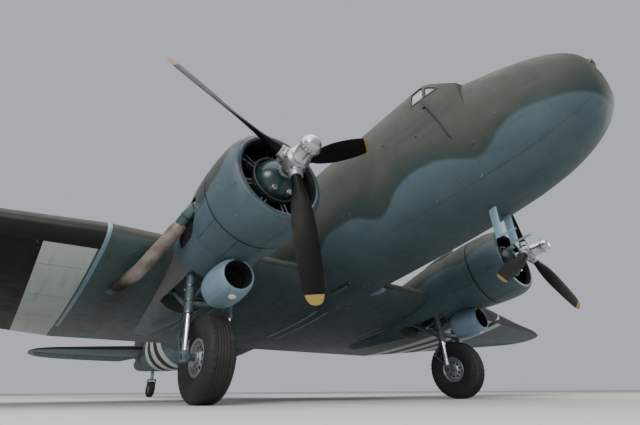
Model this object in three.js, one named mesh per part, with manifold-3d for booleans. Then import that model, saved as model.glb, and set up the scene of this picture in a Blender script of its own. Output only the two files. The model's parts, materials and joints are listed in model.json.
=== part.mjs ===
// A twin-engined military transport plane of the 1940s with a tail wheel, parked on its landing gear.
// Millimetres. The airframe is drawn level: x to port, y aft from the nose, z up from the belly.
// The last lines turn it nose up until all three tyres stand on z = 0 and centre it on the origin.
import * as THREE from "three";
import { mergeVertices } from "three/addons/utils/BufferGeometryUtils.js";
import Module from "manifold-3d";

const wasm = await Module();
wasm.setup();

// Driving dimensions
const GAP = 0.35; // between solids that touch
const CLEAR = 8; // round moving pieces
const SKIN = 70; // fuselage wall with its frames
const NOSE_END = 3200; // joint of nose and cabin
const CABIN_END = 15000; // joint of cabin and tail
const COCKPIT_FRONT = 1440;
const FLOOR = { bottom: 652, top: 690 };
const ROOF_JOINT = 2200;
const BELLY_JOINT = 560;
const ENGINE_X = 2820; // half the wheel track
const THRUST_Z = 470;
const PROP_Y = 2740;
const PROP_RADIUS = 1765;
const FIREWALL_Y = 4290;
const WING_JOINT_X = 4275;
const HALF_SPAN = 14555;
const DIHEDRAL = Math.tan((5 * Math.PI) / 180);
const INCIDENCE = Math.tan((2 * Math.PI) / 180);
const MAIN_AXLE = { y: 5050, z: -1230 };
const MAIN_TYRE = { radius: 570, width: 400, rim: 232 };
const TAIL_AXLE = { y: 16480, z: 520 };
const TAIL_TYRE = { radius: 275, width: 210, rim: 105 };
const STAB_Z = 1950;
const RUDDER_HINGE_Y = 17950;
const ELEVATOR_HINGE_Y = 17360;

// Looks of the solids: colour, roughness, metalness
const LOOKS = {
  olive: [0x4b4a3a, 0.75, 0],
  grey: [0x59656b, 0.7, 0],
  boot: [0x15171a, 0.6, 0],
  black: [0x111214, 0.45, 0],
  alloy: [0xb4b8ba, 0.3, 0.9],
  steel: [0x6a6c6e, 0.5, 0.7],
  engine: [0x3d4a52, 0.5, 0.3],
  rust: [0x6b5648, 0.8, 0.3],
  green: [0x6c7450, 0.8, 0],
  glass: [0x9fb4b8, 0.05, 0],
};

// Solids
function solid(geometry) {
  const open = geometry.index ? geometry.toNonIndexed() : geometry.clone();
  for (const name of Object.keys(open.attributes)) {
    if (name !== "position") open.deleteAttribute(name);
  }
  const merged = mergeVertices(open, 1e-3);
  return new wasm.Manifold(
    new wasm.Mesh({
      numProp: 3,
      vertProperties: new Float32Array(merged.attributes.position.array),
      triVerts: new Uint32Array(merged.index.array),
    }),
  );
}

function join(...solids) {
  return solids.reduce((all, one) => all.add(one));
}

function cut(body, ...tools) {
  return tools.reduce((left, tool) => left.subtract(tool), body);
}

function geometryOf(body) {
  const mesh = body.getMesh();
  const geometry = new THREE.BufferGeometry();
  geometry.setAttribute("position", new THREE.BufferAttribute(new Float32Array(mesh.vertProperties), 3));
  geometry.setIndex(new THREE.BufferAttribute(new Uint32Array(mesh.triVerts), 1));
  return geometry;
}

// A box from its lowest to its highest corner.
function block(x0, y0, z0, x1, y1, z1) {
  const box = new THREE.BoxGeometry(x1 - x0, y1 - y0, z1 - z0);
  return solid(box.translate((x0 + x1) / 2, (y0 + y1) / 2, (z0 + z1) / 2));
}

// A round bar or cone from a to b.
function bar(a, b, r0, r1 = r0, sides = 12) {
  const from = new THREE.Vector3(...a);
  const along = new THREE.Vector3(...b).sub(from);
  const shape = new THREE.CylinderGeometry(r1, r0, along.length(), sides);
  shape.translate(0, along.length() / 2, 0);
  const turn = new THREE.Quaternion().setFromUnitVectors(
    new THREE.Vector3(0, 1, 0),
    along.clone().normalize(),
  );
  return solid(shape.applyQuaternion(turn).translate(from.x, from.y, from.z));
}

// A lathe about a line along y through (x, z). The profile is [radius, y] and closes on itself.
function turned(profile, x, z, sides = 24) {
  const points = [...profile, profile[0]].map(([r, y]) => new THREE.Vector2(r, y));
  const made = solid(new THREE.LatheGeometry(points, sides).translate(x, 0, z));
  if (made.volume() > 0) return made;
  const turnedRound = new THREE.LatheGeometry(points.reverse(), sides);
  return solid(turnedRound.translate(x, 0, z));
}

// A skin through rings of points, closed at both ends.
function loft(rings) {
  const count = rings[0].length;
  const ends = [rings[0], rings[rings.length - 1]].map((ring) =>
    ring.reduce((sum, p) => sum.add(p), new THREE.Vector3()).divideScalar(count),
  );
  const points = [...rings.flat(), ...ends];
  const faces = [];
  const tail = (rings.length - 1) * count;
  for (let j = 0; j < count; j++) {
    const k = (j + 1) % count;
    for (let i = 0; i < tail; i += count) {
      faces.push(i + j, i + k, i + count + k, i + j, i + count + k, i + count + j);
    }
    faces.push(points.length - 2, k, j, points.length - 1, tail + j, tail + k);
  }
  const geometry = new THREE.BufferGeometry().setFromPoints(points);
  geometry.setIndex(faces);
  const made = solid(geometry);
  if (made.volume() > 0) return made;
  geometry.setIndex(faces.reverse());
  return solid(geometry);
}

// The mirror image on the starboard side.
function mirrored(body) {
  const geometry = geometryOf(body).scale(-1, 1, 1);
  geometry.setIndex([...geometry.index.array].reverse());
  return solid(geometry);
}

// Fuselage and nacelle sections: half width, top, bottom, height of the widest point, fullness of the top
// Columns: y, half width, top, bottom, middle, fullness
const FUSELAGE = [
  [12, 170, 1250, 905, 1075, 2],
  [70, 330, 1410, 740, 1072, 2],
  [220, 520, 1590, 530, 1075, 2],
  [480, 680, 1745, 350, 1085, 2.05],
  [850, 810, 1890, 205, 1105, 2.1],
  [1350, 915, 2050, 105, 1150, 2.2],
  [1352, 915, 2540, 105, 1150, 2.75],
  [1900, 985, 2570, 55, 1190, 2.7],
  [2500, 1040, 2585, 25, 1220, 2.55],
  [NOSE_END, 1095, 2600, 10, 1250, 2.35],
  [4200, 1155, 2615, 0, 1275, 2.2],
  [5400, 1210, 2620, 0, 1285, 2.15],
  [7000, 1230, 2620, 0, 1290, 2.15],
  [9200, 1225, 2620, 128, 1300, 2.15],
  [10500, 1185, 2608, 178, 1345, 2.15],
  [12000, 1090, 2575, 325, 1430, 2.12],
  [13500, 940, 2520, 570, 1540, 2.1],
  [CABIN_END, 745, 2445, 840, 1660, 2.05],
  [16500, 510, 2360, 1165, 1780, 2],
  [17800, 285, 2270, 1450, 1880, 2],
  [18560, 135, 2170, 1660, 1920, 2],
  [18900, 55, 2010, 1850, 1930, 2],
];
// The deck in front of the windscreen, in the same columns
const DECK = [
  [1340, 915, 2050, -60, 1150, 2.2],
  [1600, 968, 2086, -60, 1170, 2.3],
  [1900, 1030, 2110, -60, 1190, 2.5],
  [2500, 1150, 2125, -60, 1220, 2.6],
];
const NACELLE = [
  [FIREWALL_Y, 640, 1110, -170, 470, 2],
  [4700, 640, 1105, -215, 440, 2],
  [5200, 605, 1050, -262, 400, 2.1],
  [6000, 525, 920, -275, 330, 2.1],
  [6800, 420, 760, -215, 270, 2.1],
  [7600, 285, 560, -120, 200, 2],
  [8320, 110, 300, 10, 140, 2],
];

function ringAt([y, half, top, bottom, middle, fullness], grow, sides, x = 0) {
  return Array.from({ length: sides }, (_, i) => {
    const turn = (2 * Math.PI * (i + 0.5)) / sides;
    const [c, s] = [Math.cos(turn), Math.sin(turn)];
    const power = s > 0 ? 2 / fullness : 0.96;
    const across = Math.sign(c) * (half + grow) * Math.abs(c) ** power;
    const reach = s > 0 ? top - middle : middle - bottom;
    const up = Math.sign(s) * (reach + grow) * Math.abs(s) ** power;
    return new THREE.Vector3(x + across, y, middle + up);
  });
}

function between(rows, y) {
  const i = Math.max(1, rows.findIndex((row) => row[0] >= y));
  const [a, b] = [rows[i - 1], rows[i]];
  const share = (y - a[0]) / (b[0] - a[0]);
  return a.map((value, k) => value + (b[k] - value) * share);
}

function hull(rows, from, to, grow, sides, x = 0) {
  const inner = rows.filter((row) => row[0] > from + 1 && row[0] < to - 1);
  const all = [between(rows, from), ...inner, between(rows, to)];
  return loft(all.map((row) => ringAt(row, grow, sides, x)));
}

const HULL_SIDES = 24;
const WHEEL_SIDES = 24;
const fuselage = (from, to, grow) => hull(FUSELAGE, from, to, grow, HULL_SIDES);

// Wing sections. u runs from 0 at the leading edge to 1 at the trailing edge.
const SECTION_U = [1, 0.93, 0.8, 0.62, 0.45, 0.3, 0.17, 0.08, 0.025, 0.004];

function halfThickness(u) {
  return 5 * (0.2969 * Math.sqrt(u) - 0.126 * u - 0.3516 * u ** 2 + 0.2843 * u ** 3 - 0.1036 * u ** 4);
}

function camber(u) {
  return u < 0.2 ? 0.5 * (0.4 * u - u * u) : 0.03125 * (0.6 + 0.4 * u - u * u);
}

// Columns: distance out, leading edge, trailing edge, height, thickness over chord
const WING_CENTRE_ROW = [0, 4870, 9170, 235, 0.15];
const OUTER_WING = [
  [WING_JOINT_X, 4870, 9170, 235, 0.15],
  [9000, 6265, 9140, 235 + (9000 - WING_JOINT_X) * DIHEDRAL, 0.115],
  [13100, 7475, 9100, 235 + (13100 - WING_JOINT_X) * DIHEDRAL, 0.09],
  [13800, 7760, 9010, 235 + (13800 - WING_JOINT_X) * DIHEDRAL, 0.085],
  [14260, 8040, 8860, 235 + (14260 - WING_JOINT_X) * DIHEDRAL, 0.075],
  [HALF_SPAN, 8370, 8640, 235 + (HALF_SPAN - WING_JOINT_X) * DIHEDRAL, 0.06],
];

function surfaceZ([, lead, trail, height, thick], y, side, cambered = 1) {
  const chord = trail - lead;
  const u = (y - lead) / chord;
  const bend = cambered * (camber(u) + (0.3 - u) * INCIDENCE);
  return height + chord * (bend + side * thick * halfThickness(u));
}

// The outline of a wing section as [y, z] pairs, grown outwards.
function sectionOutline(row, grow, cambered) {
  const [, lead, trail] = row;
  const side = (sign) =>
    SECTION_U.map((u) => {
      const y = lead + u * (trail - lead);
      const edge = u === 1 ? sign * 3 : 0;
      return [y + grow * (u > 0.5 ? (u === 1 ? 1 : 0) : -(0.3 - Math.min(u, 0.3)) / 0.3),
        surfaceZ(row, y, sign, cambered) + sign * grow + edge];
    });
  return [...side(1), ...side(-1).reverse()];
}

function wing(rows, grow = 0) {
  return loft(
    rows.map((row) => sectionOutline(row, grow, 1).map(([y, z]) => new THREE.Vector3(row[0], y, z))),
  );
}

function rowAt(rows, x) {
  return between(rows, x);
}

// A moving surface on a hinge line from a to b, cut out of a solid.
// halfAt gives the solid's half thickness at a share of the line. The zones behind the line are tight and wide.
function hinged(body, a, b, halfAt, zoneTight, zoneWide) {
  const half = [halfAt(0), halfAt(1)];
  const excess = [0.1, 0.2, 0.3, 0.4, 0.5, 0.6, 0.7, 0.8, 0.9].map(
    (t) => halfAt(t) - half[0] - (half[1] - half[0]) * t,
  );
  const bulge = Math.max(0, ...excess) + 12;
  const line = new THREE.Vector3(...b).sub(new THREE.Vector3(...a)).normalize();
  const at = (point, shift) => new THREE.Vector3(...point).addScaledVector(line, shift).toArray();
  const nose = bar(at(a, CLEAR), at(b, -CLEAR), half[0] * 0.96, half[1] * 0.96, 12);
  const cove = bar(a, b, half[0] + bulge, half[1] + bulge, 12);
  const pins = join(
    bar(at(a, GAP), at(a, CLEAR + 30), half[0] * 0.35, half[0] * 0.35, 8),
    bar(at(b, -CLEAR - 30), at(b, -GAP), half[1] * 0.35, half[1] * 0.35, 8),
  );
  return {
    fixed: cut(body, zoneWide, cove),
    moving: join(body.intersect(join(zoneTight, nose)), pins),
  };
}

// A prism over an outline of [x, y] pairs.
function prism(outline, z0, z1) {
  const shape = new THREE.Shape(outline.map(([x, y]) => new THREE.Vector2(x, y)));
  const made = new THREE.ExtrudeGeometry(shape, { depth: z1 - z0, bevelEnabled: false });
  return solid(made.translate(0, 0, z0));
}

// The model tree. A carrier turns about its own x axis, which is its hinge line.
const aircraft = new THREE.Group();
aircraft.name = "aircraft";

function show(name, look, body, parent = aircraft) {
  const [color, roughness, metalness] = LOOKS[look];
  const material = new THREE.MeshStandardMaterial({ color, roughness, metalness });
  if (look === "glass") {
    material.transparent = true;
    material.opacity = 0.4;
  }
  const geometry = geometryOf(body);
  parent.updateMatrix();
  geometry.applyMatrix4(parent.matrix.clone().invert());
  const mesh = new THREE.Mesh(geometry, material);
  mesh.name = name;
  parent.add(mesh);
}

function carrier(name, at, axis, parent = aircraft) {
  const group = new THREE.Group();
  group.name = name;
  group.position.set(...at);
  group.quaternion.setFromUnitVectors(
    new THREE.Vector3(1, 0, 0),
    new THREE.Vector3(...axis).normalize(),
  );
  parent.add(group);
  return group;
}

const SIDES = [
  { tag: "port", sign: 1, place: (body) => body },
  { tag: "stbd", sign: -1, place: mirrored },
];

// Wing centre section with the belly flap and two jacking pads
const FLAP = { front: 8480, back: 8975, thick: 20, recess: 34, half: 4235 };
const centreWing = (grow) =>
  wing([-WING_JOINT_X + GAP, WING_JOINT_X - GAP].map((x) => [x, ...WING_CENTRE_ROW.slice(1)]), grow);

// A slab on the underside between two chord stations of each row; low and high are its reach below and above.
function undersideSlab(rows, front, back, low, high) {
  return loft(
    rows.map((row, i) => {
      const z = (y) => surfaceZ(row, y, -1);
      const [f, b] = [front[i], back[i]];
      return [[f, z(f) - low], [b, z(b) - low], [b, z(b) + high], [f, z(f) + high]].map(
        ([y, h]) => new THREE.Vector3(row[0], y, h),
      );
    }),
  );
}

const flapRows = (half) => [-half, half].map((x) => [x, ...WING_CENTRE_ROW.slice(1)]);
const bellyFlap = undersideSlab(
  flapRows(FLAP.half), [FLAP.front, FLAP.front], [FLAP.back, FLAP.back], 0, FLAP.thick);
const bellyRecess = undersideSlab(
  flapRows(FLAP.half + CLEAR), [FLAP.front - GAP, FLAP.front - GAP], [FLAP.back + CLEAR, FLAP.back + CLEAR],
  60, FLAP.recess);
const JACK = { x: 3900, y: 6150, radius: 70, drop: 60 };
const jackFoot = surfaceZ(WING_CENTRE_ROW, JACK.y, -1) - JACK.drop;
const jackPad = (x) => bar([x, JACK.y, jackFoot], [x, JACK.y, jackFoot + 200], JACK.radius, JACK.radius, 16);
const wingTool = centreWing(GAP);
show("wing_centre", "grey", join(cut(centreWing(0), bellyRecess), jackPad(JACK.x), jackPad(-JACK.x)));
const bellyHinge = surfaceZ(WING_CENTRE_ROW, FLAP.front, -1);
show("flap_centre", "grey", bellyFlap, carrier("hinge_flap_centre", [0, FLAP.front, bellyHinge], [1, 0, 0]));

// Outer wings, each with an aileron and a split flap
const AILERON = { from: 8900, to: 13500, share: 0.755, endGap: 22 };
const OUTER_FLAP = { from: 4330, to: 8780 };
for (const { tag, sign, place } of SIDES) {
  const rows = OUTER_WING.map((row, i) => (i ? row : [WING_JOINT_X + GAP, ...row.slice(1)]));
  const panel = wing(rows);
  const stationAt = (x) => {
    const row = rowAt(OUTER_WING, x);
    const y = row[1] + AILERON.share * (row[2] - row[1]);
    const z = (surfaceZ(row, y, 1) + surfaceZ(row, y, -1)) / 2;
    return { x, y, z, half: (surfaceZ(row, y, 1) - surfaceZ(row, y, -1)) / 2 };
  };
  const ends = [AILERON.from, AILERON.to].map(stationAt);
  const [inner, outer] = ends;
  const yAt = (x) => inner.y + ((x - inner.x) / (outer.x - inner.x)) * (outer.y - inner.y);
  const zone = (slack) => {
    const [x0, x1] = [inner.x + slack, outer.x - slack];
    return prism([[x0, yAt(x0)], [x1, yAt(x1)], [x1, 9600], [x0, 9600]], -500, 2500);
  };
  const aileron = hinged(
    panel,
    [inner.x, inner.y, inner.z],
    [outer.x, outer.y, outer.z],
    (t) => stationAt(AILERON.from + t * (AILERON.to - AILERON.from)).half,
    zone(AILERON.endGap),
    zone(0),
  );
  const flapEnds = (slack) => [OUTER_FLAP.from - slack, OUTER_FLAP.to + slack].map((x) => rowAt(OUTER_WING, x));
  const chordAt = (row, share) => row[1] + share * (row[2] - row[1]);
  const slab = (slack, front, back, low, high) => {
    const at = flapEnds(slack);
    return undersideSlab(at, at.map((r) => chordAt(r, 0.84) - front), at.map((r) => chordAt(r, 0.945) + back), low, high);
  };
  const flap = slab(0, 0, 0, 0, 16);
  const recess = slab(CLEAR, GAP, CLEAR, 60, 26);
  const [near, far] = flapEnds(0).map((r) => [r[0], chordAt(r, 0.84), surfaceZ(r, chordAt(r, 0.84), -1)]);
  show("outer_wing_" + tag, "grey", place(cut(aileron.fixed, recess)));
  const flapAxis = [far[0] - near[0], sign * (far[1] - near[1]), sign * (far[2] - near[2])];
  show("flap_" + tag, "grey", place(flap),
    carrier("hinge_flap_" + tag, [sign * near[0], near[1], near[2]], flapAxis));
  const axis = [outer.x - inner.x, sign * (outer.y - inner.y), sign * (outer.z - inner.z)];
  show("aileron_" + tag, "olive", place(aileron.moving),
    carrier("hinge_aileron_" + tag, [sign * inner.x, inner.y, inner.z], axis));
}

// Fuselage: the windscreen is two flat planes cut into the full-height nose, ahead of them runs the deck.
const PANE = {
  low: new THREE.Vector3(0, 1375, 2070),
  across: new THREE.Vector3(760, 243, -45).normalize(),
  normal: new THREE.Vector3(0.2579, -0.6794, 0.6869).normalize(),
  frame: 45,
};
PANE.up = PANE.normal.clone().cross(PANE.across).normalize();

// A prism standing on the port windscreen plane, from depth d0 to d1 along its normal.
function paneSolid(outline, d0, d1) {
  const shape = new THREE.Shape(outline.map(([u, v]) => new THREE.Vector2(u, v)));
  const made = new THREE.ExtrudeGeometry(shape, { depth: d1 - d0, bevelEnabled: false });
  made.translate(0, 0, d0);
  made.applyMatrix4(new THREE.Matrix4().makeBasis(PANE.across, PANE.up, PANE.normal));
  return solid(made.translate(PANE.low.x, PANE.low.y, PANE.low.z));
}

const HALF_SPACE = [[-2500, -2500], [2500, -2500], [2500, 2500], [-2500, 2500]];
const aheadOfPane = (shift) => {
  const port = paneSolid(HALF_SPACE, shift, 2500).intersect(block(0, -3000, -3000, 4000, 6000, 6000));
  return join(port, mirrored(port));
};
const deck = loft(DECK.map((row) => ringAt(row, 0, HULL_SIDES)));
const screenTool = cut(aheadOfPane(0).intersect(block(-1400, 1349, 1200, 1400, 3000, 3000)), deck);
const noseOuter = cut(fuselage(12, NOSE_END - GAP / 2, 0), screenTool);
const cockpit = cut(fuselage(COCKPIT_FRONT, NOSE_END + 50, -SKIN), aheadOfPane(-PANE.frame));
const FRONT_PANE = [[62, 60], [730, 60], [730, 190], [560, 330], [62, 585]];
const inset = ([u, v]) => [u + (u < 400 ? GAP : -GAP), v + (v < 100 ? GAP : -GAP)];
const POST = 42; // half of the post between the two front panes
const beside = (x) => block(x, 0, 0, 2000, 5000, 5000);
const paneHole = paneSolid(FRONT_PANE, -150, 100).intersect(beside(POST));
const frontGlass = paneSolid(FRONT_PANE.map(inset), -26, -14).intersect(beside(POST + GAP));
const SIDE_PANE = [[1615, 1875], [2085, 1875], [2085, 2230], [1915, 2230]]; // y and height of its corners
const sideHole = (slack) =>
  loft([300, 1500].map((x) =>
    SIDE_PANE.map(([y, z]) =>
      new THREE.Vector3(x, y + (y < 2000 ? 1.8 : -1) * slack, z + (z < 2000 ? slack : -slack)))));
const sideGlass = cut(fuselage(1400, 2500, -14), fuselage(1390, 2510, -28)).intersect(sideHole(GAP));
show("nose_section", "olive",
  cut(noseOuter, cockpit, paneHole, mirrored(paneHole), sideHole(0), mirrored(sideHole(0))));
for (const { tag, place } of SIDES) {
  show("windscreen_" + tag, "glass", place(frontGlass));
  show("side_window_" + tag, "glass", place(sideGlass));
}

// Cabin: windows in a row, two cargo doors and a crew door to port
const WINDOW = { half: 205, z0: 1410, z1: 1800, pitch: 960, first: 4620, count: 7 };
const windowRow = (sign, count) =>
  join(...Array.from({ length: count }, (_, i) => {
    const y = WINDOW.first + i * WINDOW.pitch;
    const [x0, x1] = sign > 0 ? [900, 1500] : [-1500, -900];
    return block(x0, y - WINDOW.half, WINDOW.z0, x1, y + WINDOW.half, WINDOW.z1);
  }));
const DOORS = [
  { name: "cargo_door_front", y0: 11300, y1: 12350, z0: 705, z1: 2090, hinge: "y0" },
  { name: "cargo_door_rear", y0: 12350, y1: 13400, z0: 705, z1: 2090, hinge: "y1" },
  { name: "crew_door", y0: 3360, y1: 4060, z0: 760, z1: 1960, hinge: "y0" },
];
const HINGE = { out: 16, radius: 13, reach: 90, depth: 260, knuckle: 120 };
const shell = cut(
  fuselage(NOSE_END + GAP / 2, CABIN_END - GAP / 2, 0),
  fuselage(NOSE_END - 50, CABIN_END + 50, -SKIN),
  wingTool,
  windowRow(1, WINDOW.count),
  windowRow(-1, WINDOW.count),
);

function makeDoor({ name, y0, y1, z0, z1, hinge }) {
  const edge = hinge === "y0" ? y0 : y1;
  const inward = hinge === "y0" ? 1 : -1;
  const x = between(FUSELAGE, edge)[1] + HINGE.out;
  const low = [x, edge, z0 + 150];
  const hole = block(300, y0, z0, 1600, y1, z1);
  const span = y1 - y0;
  const sweep = bar([x, edge, 0], [x, edge, 3000], span - 5, span - 5, 96);
  const leaf = shell.intersect(block(300, y0 + 5, z0 + 6, 1600, y1 - 5, z1 - 6)).intersect(sweep);
  const knuckles = [z0 + 420, z1 - 300].map((z) => ({
    moving: join(
      bar([x, edge, z + GAP], [x, edge, z + HINGE.knuckle], HINGE.radius, HINGE.radius, 10),
      block(x - HINGE.depth, Math.min(edge + inward * 2, edge + inward * HINGE.reach), z + GAP,
        x - 2, Math.max(edge + inward * 2, edge + inward * HINGE.reach), z + HINGE.knuckle),
    ),
    fixed: join(
      bar([x, edge, z - HINGE.knuckle], [x, edge, z], HINGE.radius, HINGE.radius, 10),
      block(x - HINGE.depth, Math.min(edge, edge - inward * HINGE.reach), z - HINGE.knuckle,
        x - 2, Math.max(edge, edge - inward * HINGE.reach), z),
    ),
  }));
  return { name, hole, leaf, knuckles, low, inward };
}

const doors = DOORS.map(makeDoor);
const doorHoles = join(...doors.map((door) => door.hole));
const fixedKnuckles = join(...doors.flatMap((door) => door.knuckles.map((k) => k.fixed)));
const cabinTool = cut(fuselage(NOSE_END - 60, CABIN_END + 60, -SKIN + 30));
const panels = {
  cabin_roof: block(-2000, 0, ROOF_JOINT + GAP, 2000, 20000, 4000),
  cabin_side_port: block(0, 0, BELLY_JOINT + GAP, 2000, 20000, ROOF_JOINT),
  cabin_side_stbd: block(-2000, 0, BELLY_JOINT + GAP, 0, 20000, ROOF_JOINT),
  belly_front: block(-2000, 0, -500, 2000, 7000, BELLY_JOINT),
  belly_rear: block(-2000, 7000, -500, 2000, 20000, BELLY_JOINT),
};
for (const [name, zone] of Object.entries(panels)) {
  let panel = shell.intersect(zone);
  if (name === "cabin_side_port") panel = join(cut(panel, doorHoles), cut(fixedKnuckles, cabinTool));
  const parts = panel.decompose().sort((p, q) => q.volume() - p.volume());
  show(name, name.startsWith("belly") ? "grey" : "olive", parts[0]);
}
for (const { name, leaf, knuckles, low, inward } of doors) {
  const hung = join(leaf, ...knuckles.map((k) => cut(k.moving, cabinTool)));
  show(name, "olive", hung, carrier("hinge_" + name, low, [0, 0, -inward]));
}

// Cargo floor with the cockpit bulkhead, troop benches, crew seats and instrument panel
const room = fuselage(COCKPIT_FRONT + 1, CABIN_END - 1, -SKIN - GAP);
const BULKHEAD = { y0: 3140, y1: 3175, doorHalf: 330, doorTop: 2250 };
const bulkhead = cut(
  block(-1500, BULKHEAD.y0, FLOOR.bottom, 1500, BULKHEAD.y1, 3000),
  block(-BULKHEAD.doorHalf, 3000, FLOOR.top, BULKHEAD.doorHalf, 3300, BULKHEAD.doorTop),
);
const floorBody = join(block(-1500, 0, FLOOR.bottom, 1500, 20000, FLOOR.top), bulkhead);
show("cargo_floor", "green", cut(floorBody.intersect(room), aheadOfPane(-PANE.frame - 1)));
const BENCH = { front: 620, seat: 1090, thick: 45, leg: 40, from: 4450 };
for (const { tag, sign, place } of SIDES) {
  const end = sign > 0 ? 11200 : 13300;
  const seat = block(BENCH.front, BENCH.from, BENCH.seat, 1500, end, BENCH.seat + BENCH.thick);
  const legs = Array.from({ length: 5 }, (_, i) => {
    const y = BENCH.from + ((end - BENCH.from - BENCH.leg) * i) / 4;
    return block(BENCH.front, y, FLOOR.top + GAP, BENCH.front + BENCH.leg, y + BENCH.leg, BENCH.seat + 1);
  });
  show("bench_" + tag, "steel", place(join(seat, ...legs)).intersect(room));
}
const SEAT = { x: 430, y: 2350, half: 215, pan: 1050, back: 1650 };
const seat = (x) =>
  join(
    block(x - SEAT.half, SEAT.y - 200, SEAT.pan, x + SEAT.half, SEAT.y + 240, SEAT.pan + 70),
    block(x - SEAT.half, SEAT.y + 190, SEAT.pan, x + SEAT.half, SEAT.y + 250, SEAT.back),
    block(x - 60, SEAT.y - 60, FLOOR.top + GAP, x + 60, SEAT.y + 60, SEAT.pan + 1),
  );
const seatBase = block(-600, 1900, FLOOR.top + GAP, 600, 2750, FLOOR.top + 30);
const pedestal = block(-120, 1800, FLOOR.top + GAP, 120, 2120, 1350);
const column = (x) =>
  join(
    bar([x, 1930, FLOOR.top + 20], [x, 1980, 1400], 28, 28, 8),
    block(x - 190, 1950, 1385, x + 190, 2010, 1430),
  );
show("crew_seats", "steel", join(seatBase, seat(SEAT.x), seat(-SEAT.x), pedestal, column(SEAT.x), column(-SEAT.x)));
const panelZone = cut(block(-800, COCKPIT_FRONT + GAP, 1360, 800, 1545, 2000), aheadOfPane(-PANE.frame - 1));
show("instrument_panel", "black", panelZone.intersect(fuselage(COCKPIT_FRONT - 50, 1700, -SKIN - GAP)));

// Tail section, fin and rudder
const tailOuter = fuselage(CABIN_END + GAP / 2, 18900, 0);
const tailTool = fuselage(CABIN_END - 500, 18900, GAP);
const HITCH = { y: 18990, radius: 48 };
show("tail_section", "olive",
  join(tailOuter, bar([0, 18800, 1930], [0, HITCH.y, 1930], HITCH.radius, HITCH.radius, 12)));

// Columns: height, leading edge, trailing edge, thickness over chord
const FIN = [
  [2100, 15150, 18860, 0.075],
  [2420, 15640, 19330, 0.078],
  [3000, 16060, 19430, 0.082],
  [4200, 16740, 19330, 0.085],
  [5000, 17160, 19060, 0.085],
  [5480, 17450, 18760, 0.08],
  [5700, 17700, 18480, 0.07],
  [5790, 17950, 18230, 0.06],
];
const finRing = ([z, lead, trail, thick]) =>
  sectionOutline([0, lead, trail, 0, thick], 0, 0).map(([y, x]) => new THREE.Vector3(x, y, z));
const finFull = cut(loft(FIN.map(finRing)), tailTool);
const RUDDER = { foot: 2330, top: 5640 };
const finHalf = (z) => {
  const [, lead, trail, thick] = between(FIN, z);
  return thick * (trail - lead) * halfThickness((RUDDER_HINGE_Y - lead) / (trail - lead));
};
const rudderZone = (slack) => {
  const outline = [[RUDDER_HINGE_Y, RUDDER.foot + slack], [19900, RUDDER.foot - 260 + slack],
    [19900, RUDDER.top + 400], [RUDDER_HINGE_Y, RUDDER.top - slack]];
  const shape = new THREE.Shape(outline.map(([y, z]) => new THREE.Vector2(y, z)));
  const made = new THREE.ExtrudeGeometry(shape, { depth: 1200, bevelEnabled: false });
  made.applyMatrix4(new THREE.Matrix4().makeBasis(
    new THREE.Vector3(0, 1, 0), new THREE.Vector3(0, 0, 1), new THREE.Vector3(1, 0, 0)));
  return solid(made.translate(-600, 0, 0));
};
const rudder = hinged(
  finFull,
  [0, RUDDER_HINGE_Y, RUDDER.foot],
  [0, RUDDER_HINGE_Y, RUDDER.top],
  (t) => finHalf(RUDDER.foot + t * (RUDDER.top - RUDDER.foot)),
  rudderZone(CLEAR),
  rudderZone(0),
);
const largest = (body) => body.decompose().sort((p, q) => q.volume() - p.volume())[0];
const behindPost = block(-600, RUDDER_HINGE_Y - 40, 0, 600, 20000, RUDDER.foot + 5);
show("fin", "olive", largest(cut(rudder.fixed, behindPost)));
show("rudder", "olive", largest(rudder.moving),
  carrier("hinge_rudder", [0, RUDDER_HINGE_Y, RUDDER.foot], [0, 0, 1]));

// Tailplane and elevators
// Columns: distance out, leading edge, trailing edge, height, thickness over chord
const TAILPLANE = [
  [150, 15960, 18420, STAB_Z, 0.1],
  [2600, 16560, 18330, STAB_Z, 0.09],
  [3450, 16790, 18190, STAB_Z, 0.085],
  [3850, 16990, 18000, STAB_Z, 0.075],
  [4065, 17290, 17700, STAB_Z, 0.06],
];
const ELEVATOR = { from: 390, to: 3880, notch: 640 };
const elevators = carrier("hinge_elevators", [0, ELEVATOR_HINGE_Y, STAB_Z], [1, 0, 0]);
for (const { tag, place } of SIDES) {
  const full = cut(
    loft(TAILPLANE.map((row) => sectionOutline(row, 0, 0).map(([y, z]) => new THREE.Vector3(row[0], y, z)))),
    tailTool,
  );
  const halfAt = (x) => {
    const row = between(TAILPLANE, x);
    return surfaceZ(row, ELEVATOR_HINGE_Y, 1, 0) - STAB_Z;
  };
  const zone = (slack) => {
    const [x0, x1] = [ELEVATOR.from + slack, ELEVATOR.to - slack];
    const outline = [[x0, ELEVATOR_HINGE_Y], [x1, ELEVATOR_HINGE_Y], [x1, 19000], [x0 + ELEVATOR.notch, 19000]];
    return prism(outline, 1000, 3000);
  };
  const wide = prism([[ELEVATOR.from, ELEVATOR_HINGE_Y], [ELEVATOR.to, ELEVATOR_HINGE_Y],
    [ELEVATOR.to, 19000], [ELEVATOR.from, 19000]], 1000, 3000);
  const made = hinged(
    full,
    [ELEVATOR.from, ELEVATOR_HINGE_Y, STAB_Z],
    [ELEVATOR.to, ELEVATOR_HINGE_Y, STAB_Z],
    (t) => halfAt(ELEVATOR.from + t * (ELEVATOR.to - ELEVATOR.from)),
    zone(CLEAR),
    wide,
  );
  const stub = block(0, ELEVATOR_HINGE_Y + 40, 1000, ELEVATOR.from + 5, 19000, 3000);
  show("tailplane_" + tag, "grey", place(largest(cut(made.fixed, stub))));
  show("elevator_" + tag, "grey", place(largest(made.moving)), elevators);
}

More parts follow.
